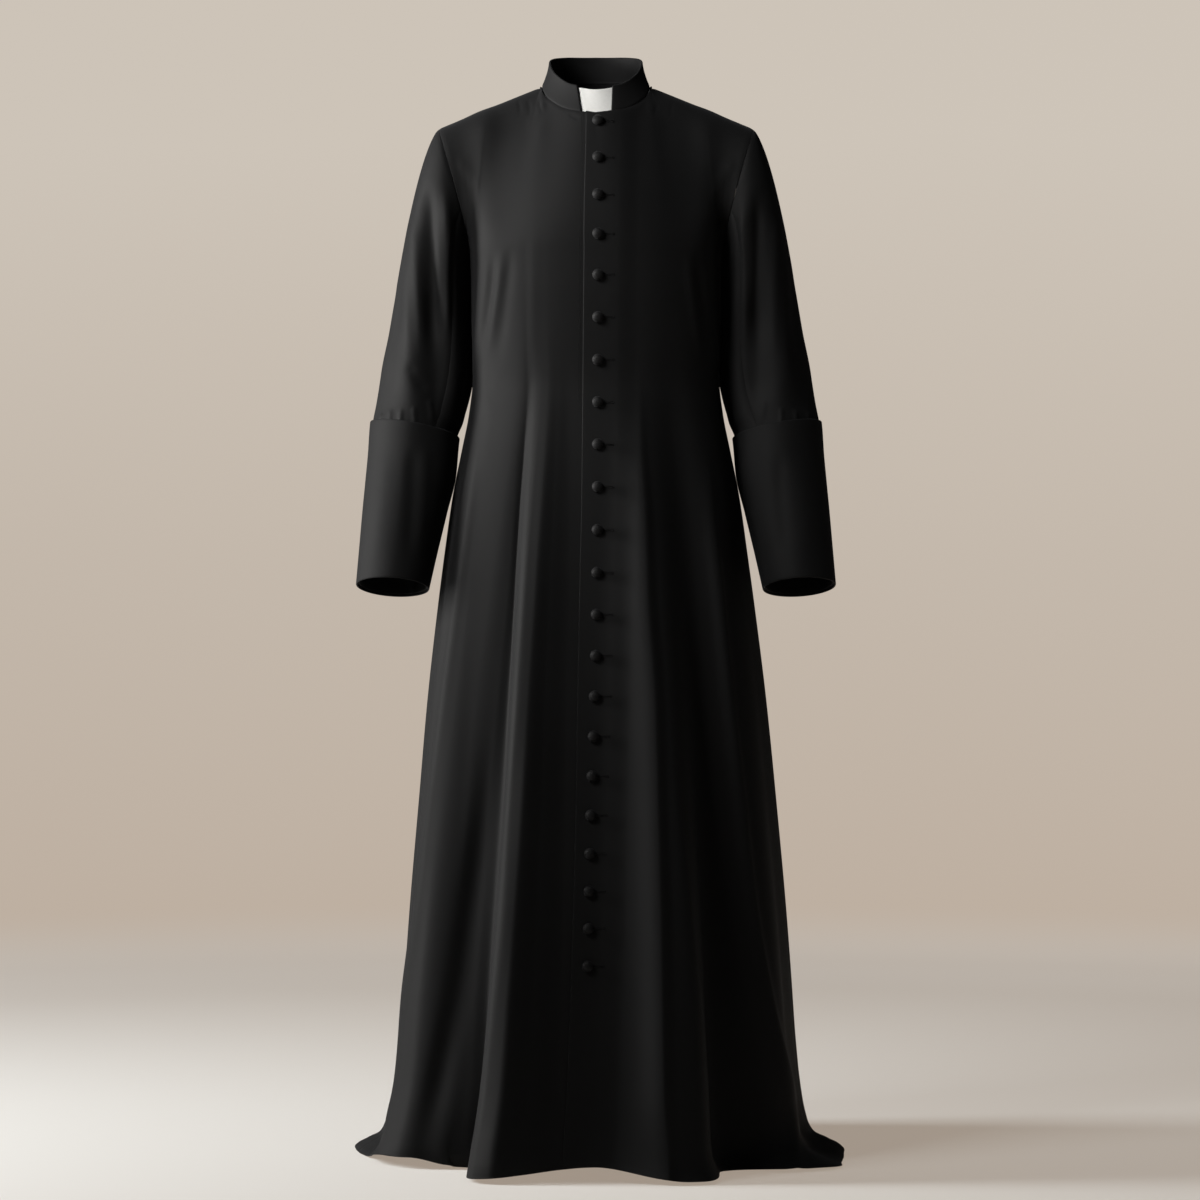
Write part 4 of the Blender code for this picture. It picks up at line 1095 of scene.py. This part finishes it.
# Cuffs: each is a deep band of the same worsted over stiffening, sewn to the sleeve's end and turned
# back up over it, so its upper edge is free and stands a little off the sleeve.
CUFF_TOP_DROP, CUFF_END_DROP = 0.505, 0.7345
CUFF_CLOTH, CUFF_FLARE = 0.0025, 0.0012
cuff_wool = wool("cuff_wool", DARK_WOOL, PALE_WOOL, 0.70, WOOL_SHEEN)
cuff_angles = np.linspace(0, 360, 144, endpoint=False)
cuff_drops = np.linspace(CUFF_END_DROP, CUFF_TOP_DROP, 64)
flare = CUFF_FLARE * np.clip(1 - (cuff_drops - CUFF_TOP_DROP) / 0.10, 0, 1)
cuff_grid = arm_section(
    *np.broadcast_arrays(cuff_angles[None, :], cuff_drops[:, None]),
    (SEAM + CUFF_CLOTH + flare)[:, None],
)
CUFF_CREASES = table(
    "x0 z0 x1 z1 x2 z2 x3 z3 width rise",
    (-0.2650, -0.5250, -0.2640, -0.5800, -0.2660, -0.6400, -0.2700, -0.7150, 0.0090, -0.0022),
    (-0.2480, -0.5200, -0.2470, -0.5700, -0.2500, -0.6300, -0.2560, -0.7000, 0.0080, 0.0014),
    (-0.3050, -0.5300, -0.3080, -0.5900, -0.3120, -0.6500, -0.3160, -0.7100, 0.0140, 0.0010),
    (0.2650, -0.5300, 0.2650, -0.5850, 0.2680, -0.6450, 0.2730, -0.7150, 0.0100, -0.0020),
    (0.2950, -0.5300, 0.2980, -0.5900, 0.3020, -0.6500, 0.3060, -0.7100, 0.0140, 0.0012),
)
for hand, sign in (("left", 1), ("right", -1)):
    points = cuff_grid * np.array([sign, 1, 1])
    normals = outward(points, True)
    rise = ease((0.3 - normals[..., 1]) / 0.6) * crease_rise(points, CUFF_CREASES)
    name = f"cuff_{hand}"
    cuff = shell(
        name, points + normals * rise[..., None], CUFF_CLOTH, cuff_wool, [name], True
    )

# Collar: a stiffened band of the same worsted, sewn round the neckline. It stands up, leans in a
# little, and its two ends stop short of each other at the front.
RIM_HALF_WIDTH, RIM_DEPTH, COLLAR_HEIGHT = 0.0685, 0.0630, 0.0365
COLLAR_ALLOWANCE = 0.0016  # how far its foot runs down inside the neckline
COLLAR_CLOTH, COLLAR_LEAN = 0.0030, 1.6
COLLAR_ENDS = table("row left_x right_x", (0, 0.0225, -0.0214), (1, 0.0240, -0.0274))


def collar_point(angle, row):
    """A point of the collar: the way from the neck seam to the rim's ellipse, leaning more near the
    foot, at a height that grows evenly with the row."""
    radians = np.radians(angle)
    foot = neck_seam(angle)
    x, y = RIM_HALF_WIDTH * np.sin(radians), -RIM_DEPTH * np.cos(radians)
    lean = (1 - (1 - row) ** COLLAR_LEAN)[..., None]
    point = foot + (np.stack([x, y, foot[..., 2]], axis=-1) - foot) * lean
    point[..., 2] = foot[..., 2] + SEAM + COLLAR_HEIGHT * row
    return point


collar_wool = wool("collar_wool", DARK_WOOL, PALE_WOOL, 0.69, WOOL_SHEEN)
collar_rows = np.linspace(0, 1, 26)[:, None]
collar_width = RIM_HALF_WIDTH + (NECK_HALF_WIDTH - RIM_HALF_WIDTH) * (1 - collar_rows) ** COLLAR_LEAN
collar_start = np.degrees(np.arcsin(read(COLLAR_ENDS, "left_x", collar_rows) / collar_width))
collar_end = 360 + np.degrees(np.arcsin(read(COLLAR_ENDS, "right_x", collar_rows) / collar_width))
collar_angles = collar_start + (collar_end - collar_start) * np.linspace(0, 1, 220)
points = collar_point(collar_angles, np.broadcast_to(collar_rows, collar_angles.shape))
normals = outward(points)
points[0, :, 2] -= COLLAR_ALLOWANCE
first, last, from_top = edge_distances(points)
from_foot = arc_lengths(points)[..., 1]
rise = sewn_down(from_foot, 0.0008, 0.0022) + 0.0003 * np.sin(np.radians(collar_angles * 3 + 40))
rise = rise * ease(first / 0.01) * ease(last / 0.01)
collar = shell(
    "collar", points + normals * rise[..., None], COLLAR_CLOTH, collar_wool, ["collar"]
)

# Collar tab: a stiff strip of white linen with fine ribs, slipped in behind the two ends of the
# collar, so that only its middle shows.
TAB_CLOTH, TAB_GAP = 0.0012, 0.0008
RIBS_PER_METRE = 900.0
TAB_SETTLE = 90  # passes that ease out the turn of the neckline, as the strip is stiff


def tab_linen_finish():
    """White starched linen: fine upright ribs from a wave across the cloth, a touch of painted shade
    that greys the hollows, and a light gloss."""
    material, tree, shader, place = new_material("tab_linen")
    split = tree.nodes.new("ShaderNodeSeparateXYZ")
    tree.links.new(place.outputs["UV"], split.inputs[0])
    ribs = maths(tree, "SINE", maths(tree, "MULTIPLY", split.outputs[1], FULL_TURN * RIBS_PER_METRE))
    cloud = noise(tree, place.outputs["UV"], 220.0, 3.0)
    height = maths(tree, "MULTIPLY_ADD", cloud, 1.4, ribs)
    # Painted shade: the tone greys where the cloud is low, which is where the bump sinks into hollows.
    tones = blend(tree, cloud, (0.78, 0.78, 0.755), (0.89, 0.89, 0.87))
    tree.links.new(tones, shader.inputs["Base Color"])
    tree.links.new(maths(tree, "MULTIPLY_ADD", cloud, 0.16, 0.30), shader.inputs["Roughness"])
    tree.links.new(bumped(tree, height, 0.35, 0.0003), shader.inputs["Normal"])
    return material


tab_rows, tab_angles = np.meshgrid(np.linspace(0.02, 0.93, 22), np.linspace(-52, 52, 90), indexing="ij")
points = collar_point(tab_angles, tab_rows)
points = smoothed(points, TAB_SETTLE)
normals = outward(points)
tab = shell(
    "collar_tab", points - normals * (COLLAR_CLOTH + TAB_GAP), TAB_CLOTH, tab_linen_finish(),
    ["collar_tab"],
)

# Buttons: twenty-two domed moulds covered in the garment's own cloth, gathered in underneath and
# sewn on through a shank. They stand on the left front over their buttonholes.
BUTTON_COUNT = 22
BUTTONS = table(
    "number drop", (1, 0.063), (4, 0.229), (9, 0.531), (13, 0.774), (18, 1.056), (22, 1.265)
)
# Half of a button's section, from the middle of its dome to the foot of its shank
BUTTON_PROFILE = table(
    "share radius height",
    (0.00, 0.0000, 0.0088),
    (0.15, 0.0024, 0.0086),
    (0.30, 0.0046, 0.0079),
    (0.45, 0.0066, 0.0064),
    (0.58, 0.0078, 0.0046),
    (0.68, 0.0080, 0.0034),
    (0.78, 0.0072, 0.0020),
    (0.88, 0.0044, 0.0013),
    (0.94, 0.0034, 0.0009),
    (1.00, 0.0034, -0.0004),
)


def front_tree():
    """A search tree of the faces of both fronts."""
    corners, faces = [], []
    for piece in (front_right, front_left):
        start = len(corners)
        corners += [vertex.co for vertex in piece.data.vertices]
        faces += [[start + corner for corner in face.vertices] for face in piece.data.polygons]
    return BVHTree.FromPolygons(corners, faces)


fronts = front_tree()


def front_place(x, drop, off=0.0):
    """The points of the fronts that a line from straight ahead meets at x and a drop, lifted off the
    cloth, and the way out of it there."""
    x, drop = np.broadcast_arrays(x, drop)
    hits = [fronts.ray_cast((a, -1, -b), (0, 1, 0)) for a, b in zip(x.ravel(), drop.ravel())]
    point = np.array([hit[0][:] for hit in hits]).reshape(*x.shape, 3)
    out = np.array([hit[1][:] for hit in hits]).reshape(*x.shape, 3)
    out *= -np.sign(out[..., 1:2])
    return point + out * off, out


def turned(places, outs, radii, heights, steps):
    """Solids of revolution: each profile is turned round its own way out, at its place."""
    up = np.array([0.0, 0.0, 1.0])
    right = unit(np.cross(up, outs))
    above = np.cross(outs, right)
    turn = np.linspace(0, 2 * np.pi, steps, endpoint=False)
    sideways = np.cos(turn)[None, :, None] * right[:, None, None]
    upwards = np.sin(turn)[None, :, None] * above[:, None, None]
    rings = radii[:, None, None] * (sideways + upwards)
    return places[:, None, None] + rings + heights[:, None, None] * outs[:, None, None]


button_wool = wool(
    "button_wool", (0.0046, 0.0046, 0.0049), (0.0098, 0.0098, 0.0102), 0.60, WOOL_SHEEN, 1300.0, 0.16
)
button_drops = read(BUTTONS, "drop", np.arange(1, BUTTON_COUNT + 1))
button_x = read(CLOSING, "button_x", button_drops)
places, outs = front_place(button_x, button_drops, 0.0004)
BUTTON_STEPS, BUTTON_RINGS = 28, 16
share = np.linspace(0, 1, BUTTON_RINGS + 1)[1:]
rings = turned(
    places, outs, read(BUTTON_PROFILE, "radius", share), read(BUTTON_PROFILE, "height", share), BUTTON_STEPS
)
# The cover's gathers: small waves round the button, which start just above its widest part and are
# full beneath it
waves = 0.012 * np.sin(np.arange(BUTTON_STEPS) * 2 * np.pi / 4)[None, None, :, None]
gather = 1 + waves * ease((share - 0.5) / 0.3)[None, :, None, None]
rings = places[:, None, None] + (rings - places[:, None, None]) * gather
tips = places + outs * BUTTON_PROFILE["height"][0]
feet = places - outs * 0.0004
per_button = BUTTON_RINGS * BUTTON_STEPS + 2
button_points = np.concatenate([rings.reshape(BUTTON_COUNT, -1, 3), tips[:, None], feet[:, None]], axis=1)
ring = np.arange(BUTTON_RINGS * BUTTON_STEPS).reshape(BUTTON_RINGS, BUTTON_STEPS)
beside = np.roll(ring, -1, axis=1)
sides_of = np.stack([ring[:-1], ring[1:], beside[1:], beside[:-1]], axis=-1).reshape(-1, 4)
tip, foot = per_button - 2, per_button - 1
caps = [(tip, int(a), int(b)) for a, b in zip(ring[0], beside[0])]
caps += [(foot, int(b), int(a)) for a, b in zip(ring[-1], beside[-1])]
faces = []
for number in range(BUTTON_COUNT):
    start = number * per_button
    faces += (sides_of + start).tolist()
    faces += [tuple(start + corner for corner in cap) for cap in caps]
local = button_points - places[:, None]
right = unit(np.cross(np.array([0.0, 0.0, 1.0]), outs))
button_uv = np.stack(
    [np.einsum("bij,bj->bi", local, right), np.einsum("bij,bj->bi", local, np.cross(outs, right))], axis=-1
)


show(
    "buttons", button_points.reshape(-1, 3), faces, button_uv.reshape(-1, 2), button_wool,
    [f"button_{number:02d}" for number in range(1, BUTTON_COUNT + 1)],
)

# Buttonholes: each a slit in the left front, reaching from under its button towards the side, with
# twist thread worked closely along both lips and round an eyelet at its end.
HOLE_START, HOLE_END, EYELET_RADIUS = -0.0010, 0.0215, 0.0015
LIP_OFFSET, LIP_RADIUS, LIP_STEPS = 0.00085, 0.00062, 30
CORD_STEP, CORD_ROUND = 0.0008, 0.0003  # the measure of a cord, along it and round it
eyelet = np.radians(np.linspace(145, -145, 19))
lip = np.linspace(HOLE_START, HOLE_END - EYELET_RADIUS, LIP_STEPS)
lip_back = np.linspace(HOLE_END - EYELET_RADIUS, HOLE_START, LIP_STEPS)
hole_path = np.concatenate(
    [
        np.stack([lip, np.full(LIP_STEPS, LIP_OFFSET)], axis=-1),
        np.stack([HOLE_END + EYELET_RADIUS * np.cos(eyelet), EYELET_RADIUS * np.sin(eyelet)], axis=-1),
        np.stack([lip_back, np.full(LIP_STEPS, -LIP_OFFSET)], axis=-1),
    ]
)


def cords(paths, outs, radius, sides):
    """Round cords of thread along paths on the cloth, with closed ends: the points, the faces and
    each cord's own measure. The radius may change along a cord."""
    count, steps = paths.shape[:2]
    along = unit(np.gradient(paths, axis=1))
    beside = unit(np.cross(along, outs))
    above = np.cross(beside, along)
    turn = np.linspace(0, 2 * np.pi, sides, endpoint=False)[:, None]
    ring = np.cos(turn) * beside[:, :, None] + np.sin(turn) * above[:, :, None]
    points = (paths[:, :, None] + radius[..., None, None] * ring).reshape(-1, 3)
    index = np.arange(count * steps * sides).reshape(count, steps, sides)
    beyond = np.roll(index, -1, axis=2)
    quads = np.stack([index[:, :-1], index[:, 1:], beyond[:, 1:], beyond[:, :-1]], -1).reshape(-1, 4)
    ends = index[:, 0].tolist() + index[:, -1, ::-1].tolist()
    run = np.broadcast_to(np.arange(steps)[None, :, None] * CORD_STEP, index.shape).reshape(-1)
    round_it = np.broadcast_to(np.arange(sides) * CORD_ROUND, index.shape).reshape(-1)
    return points, quads.tolist() + ends, np.stack([run, round_it], axis=-1)


hole_x = button_x[:, None] + hole_path[:, 0]
hole_drops = button_drops[:, None] - hole_path[:, 1]
paths, outs = front_place(hole_x, hole_drops, LIP_RADIUS * 0.55)
twist = LIP_RADIUS * (1 + 0.16 * np.cos(np.arange(len(hole_path)) * np.pi))
points, faces, measure = cords(paths, outs, np.broadcast_to(twist, hole_x.shape), 7)
show("buttonholes", points, faces, measure, body_wool, [])

# Topstitches: two rows of small stitches in black thread, sewn through the right front beside the
# edge of the lap, from below the collar down to the waist.
STITCH_ROWS = (-0.0046, -0.0068)
STITCH_LENGTH, STITCH_PITCH, STITCH_RADIUS = 0.0021, 0.0030, 0.00028
stitch_drops = np.arange(0.052, 0.470, STITCH_PITCH)
stitch_drops, row_offset = (v.ravel() for v in np.meshgrid(stitch_drops, STITCH_ROWS, indexing="ij"))
share = np.linspace(0, 1, 5)
stitch_run = stitch_drops[:, None] + STITCH_LENGTH * share
edge_x = read(CLOSING, "edge_x", stitch_run)
paths, outs = front_place(edge_x + row_offset[:, None], stitch_run, 0.00002)
thickness = STITCH_RADIUS * np.sqrt(np.maximum(0.05, 1 - (2 * share - 1) ** 2))
points, faces, measure = cords(paths, outs, np.broadcast_to(thickness, stitch_run.shape), 6)
show("topstitches", points, faces, measure, body_wool, [])

# Stage: a pale floor of studio paper that runs up into a warm backdrop, which glow with painted
#  light, the floor in part and the backdrop wholly. A strong soft light stands at the wearer's right,
#  a weak one high in front of it and a weaker one at the left. The camera looks level from 6 m away,
#  0.81 m above the floor.
studio = bpy.context.scene
studio.view_settings.view_transform = "Standard"
studio.view_settings.look = "None"
COVE = table(
    "step radius height",
    (0, 0.0, -1.560),
    (1, 1.5, -1.560),
    (2, 2.55, -1.560),
    (3, 2.95, -1.535),
    (4, 3.25, -1.440),
    (5, 3.45, -1.200),
    (6, 3.52, -0.700),
    (7, 3.52, 1.000),
    (8, 3.52, 4.500),
)


def paper(name, ground, wall, roughness):
    """Studio paper that is lit like a floor at the foot and glows there too, and up the wall only
    glows, at an even strength: painted light. The share of glow is a smooth ramp over the height, and
    the glow runs through the wall's colours by height. From outside, the paper lets everything through."""
    material, tree, shader, place = new_material(name)
    split = tree.nodes.new("ShaderNodeSeparateXYZ")
    tree.links.new(place.outputs["Object"], split.inputs[0])
    ramp = tree.nodes.new("ShaderNodeMapRange")
    ramp.interpolation_type = "SMOOTHSTEP"
    ramp.inputs["From Min"].default_value = -1.560
    ramp.inputs["From Max"].default_value = -1.430
    tree.links.new(split.outputs[2], ramp.inputs["Value"])
    base = blend(tree, ramp.outputs[0], ground, (0.02, 0.02, 0.02))
    tree.links.new(base, shader.inputs["Base Color"])
    cloud = noise(tree, place.outputs["Object"], 0.9, 3.0)
    rise = tree.nodes.new("ShaderNodeMapRange")
    rise.inputs["From Min"].default_value = -1.560
    rise.inputs["From Max"].default_value = 0.400
    tree.links.new(split.outputs[2], rise.inputs["Value"])
    # Painted light: the colour of the glow, darker at the foot and paler up the wall.
    tones = tree.nodes.new("ShaderNodeValToRGB")
    tones.color_ramp.elements[0].color = (*wall[0], 1)
    tones.color_ramp.elements[1].color = (*wall[2], 1)
    tones.color_ramp.elements.new(0.5).color = (*wall[1], 1)
    tree.links.new(maths(tree, "MULTIPLY_ADD", cloud, 0.10, rise.outputs[0]), tones.inputs[0])
    tree.links.new(tones.outputs[0], shader.inputs["Emission Color"])
    # Painted light: the share of glow, seven tenths at the foot and all of it up the wall.
    strength = maths(tree, "MULTIPLY_ADD", ramp.outputs[0], 0.295, 0.705)
    tree.links.new(strength, shader.inputs["Emission Strength"])
    shader.inputs["Roughness"].default_value = roughness
    shader.inputs["Specular IOR Level"].default_value = 0.12
    clear = tree.nodes.new("ShaderNodeBsdfTransparent")
    side = tree.nodes.new("ShaderNodeNewGeometry")
    choose = tree.nodes.new("ShaderNodeMixShader")
    tree.links.new(side.outputs["Backfacing"], choose.inputs[0])
    tree.links.new(shader.outputs[0], choose.inputs[1])
    tree.links.new(clear.outputs[0], choose.inputs[2])
    tree.links.new(choose.outputs[0], tree.nodes["Material Output"].inputs[0])
    return material


COVE_TURNS = 96
cove_steps = np.linspace(0, 8, 65)
cove_turn = np.linspace(0, 2 * np.pi, COVE_TURNS, endpoint=False)
cove_radius = np.maximum(read(COVE, "radius", cove_steps), 0.001)
cove = np.stack(
    [
        cove_radius[:, None] * np.cos(cove_turn),
        cove_radius[:, None] * np.sin(cove_turn),
        np.broadcast_to(read(COVE, "height", cove_steps)[:, None], (65, COVE_TURNS)),
    ],
    axis=-1,
)


def stage_piece(name, grid, material):
    """A surface of revolution whose faces look inwards."""
    rows, columns = grid.shape[:2]
    index = np.arange(rows * columns).reshape(rows, columns)
    index = np.concatenate([index, index[:, :1]], axis=1)
    quads = np.stack([index[:-1, :-1], index[1:, :-1], index[1:, 1:], index[:-1, 1:]], -1).reshape(-1, 4)
    mesh = bpy.data.meshes.new(name)
    mesh.from_pydata(grid.reshape(-1, 3).tolist(), [], quads.tolist())
    mesh.shade_smooth()
    mesh.materials.append(material)
    piece = bpy.data.objects.new(name, mesh)
    studio.collection.objects.link(piece)
    return piece


# Colours of the paper's glow from the foot up: painted light.
WALL_GLOW_TONES = ((0.495, 0.410, 0.335), (0.535, 0.465, 0.395), (0.600, 0.540, 0.470))
stage_paper = paper("stage_paper", (0.437, 0.475, 0.494), WALL_GLOW_TONES, 0.85)
floor = stage_piece("floor", cove[:17], stage_paper)
backdrop = stage_piece("backdrop", cove[16:], stage_paper)
backdrop.visible_diffuse = False
floor.visible_diffuse = False
backdrop.visible_glossy = False
backdrop.visible_shadow = False


def soft_light(name, place, aim, width, height, power, spread, colour):
    """A rectangular area light at a place, turned to look at its aim, with its spread in degrees."""
    data = bpy.data.lights.new(name, "AREA")
    data.shape = "RECTANGLE"
    data.size, data.size_y = width, height
    data.energy = power
    data.spread = np.radians(spread)
    data.color = colour
    light = bpy.data.objects.new(name, data)
    studio.collection.objects.link(light)
    way = np.array(aim, float) - np.array(place, float)
    flat = np.hypot(way[0], way[1])
    light.location = place
    light.visible_camera = False
    light.rotation_euler = (np.arctan2(flat, -way[2]), 0, np.arctan2(way[1], way[0]) - np.pi / 2)


WARM_WHITE = (1.0, 0.985, 0.96)
soft_light("side_light", (-3.2, -0.12, 0.0), (0, 0, -0.45), 0.8, 1.4, 186, 180, WARM_WHITE)
soft_light("high_light", (-1.35, -1.3, 0.70), (0, 0, -0.05), 0.9, 0.9, 10.4, 80, WARM_WHITE)
soft_light("far_light", (3.1, -0.30, 0.1), (0, 0, -0.5), 0.8, 1.6, 3.6, 180, WARM_WHITE)
world = bpy.data.worlds.new("studio_air")
studio.world = world
world.use_nodes = True
world.node_tree.nodes["Background"].inputs[0].default_value = (1.0, 0.97, 0.93, 1)
world.node_tree.nodes["Background"].inputs[1].default_value = 0.0094

CAMERA_PLACE = (0.00584, -6.0, -0.753)
FOCAL_LENGTH, SENSOR_WIDTH = 123.3, 36.0  # millimetres, as Blender gives them
lens = bpy.data.cameras.new("camera")
lens.lens, lens.sensor_width = FOCAL_LENGTH, SENSOR_WIDTH
camera = bpy.data.objects.new("camera", lens)
studio.collection.objects.link(camera)
camera.location = CAMERA_PLACE
camera.rotation_euler = (np.pi / 2, 0, 0)
studio.camera = camera
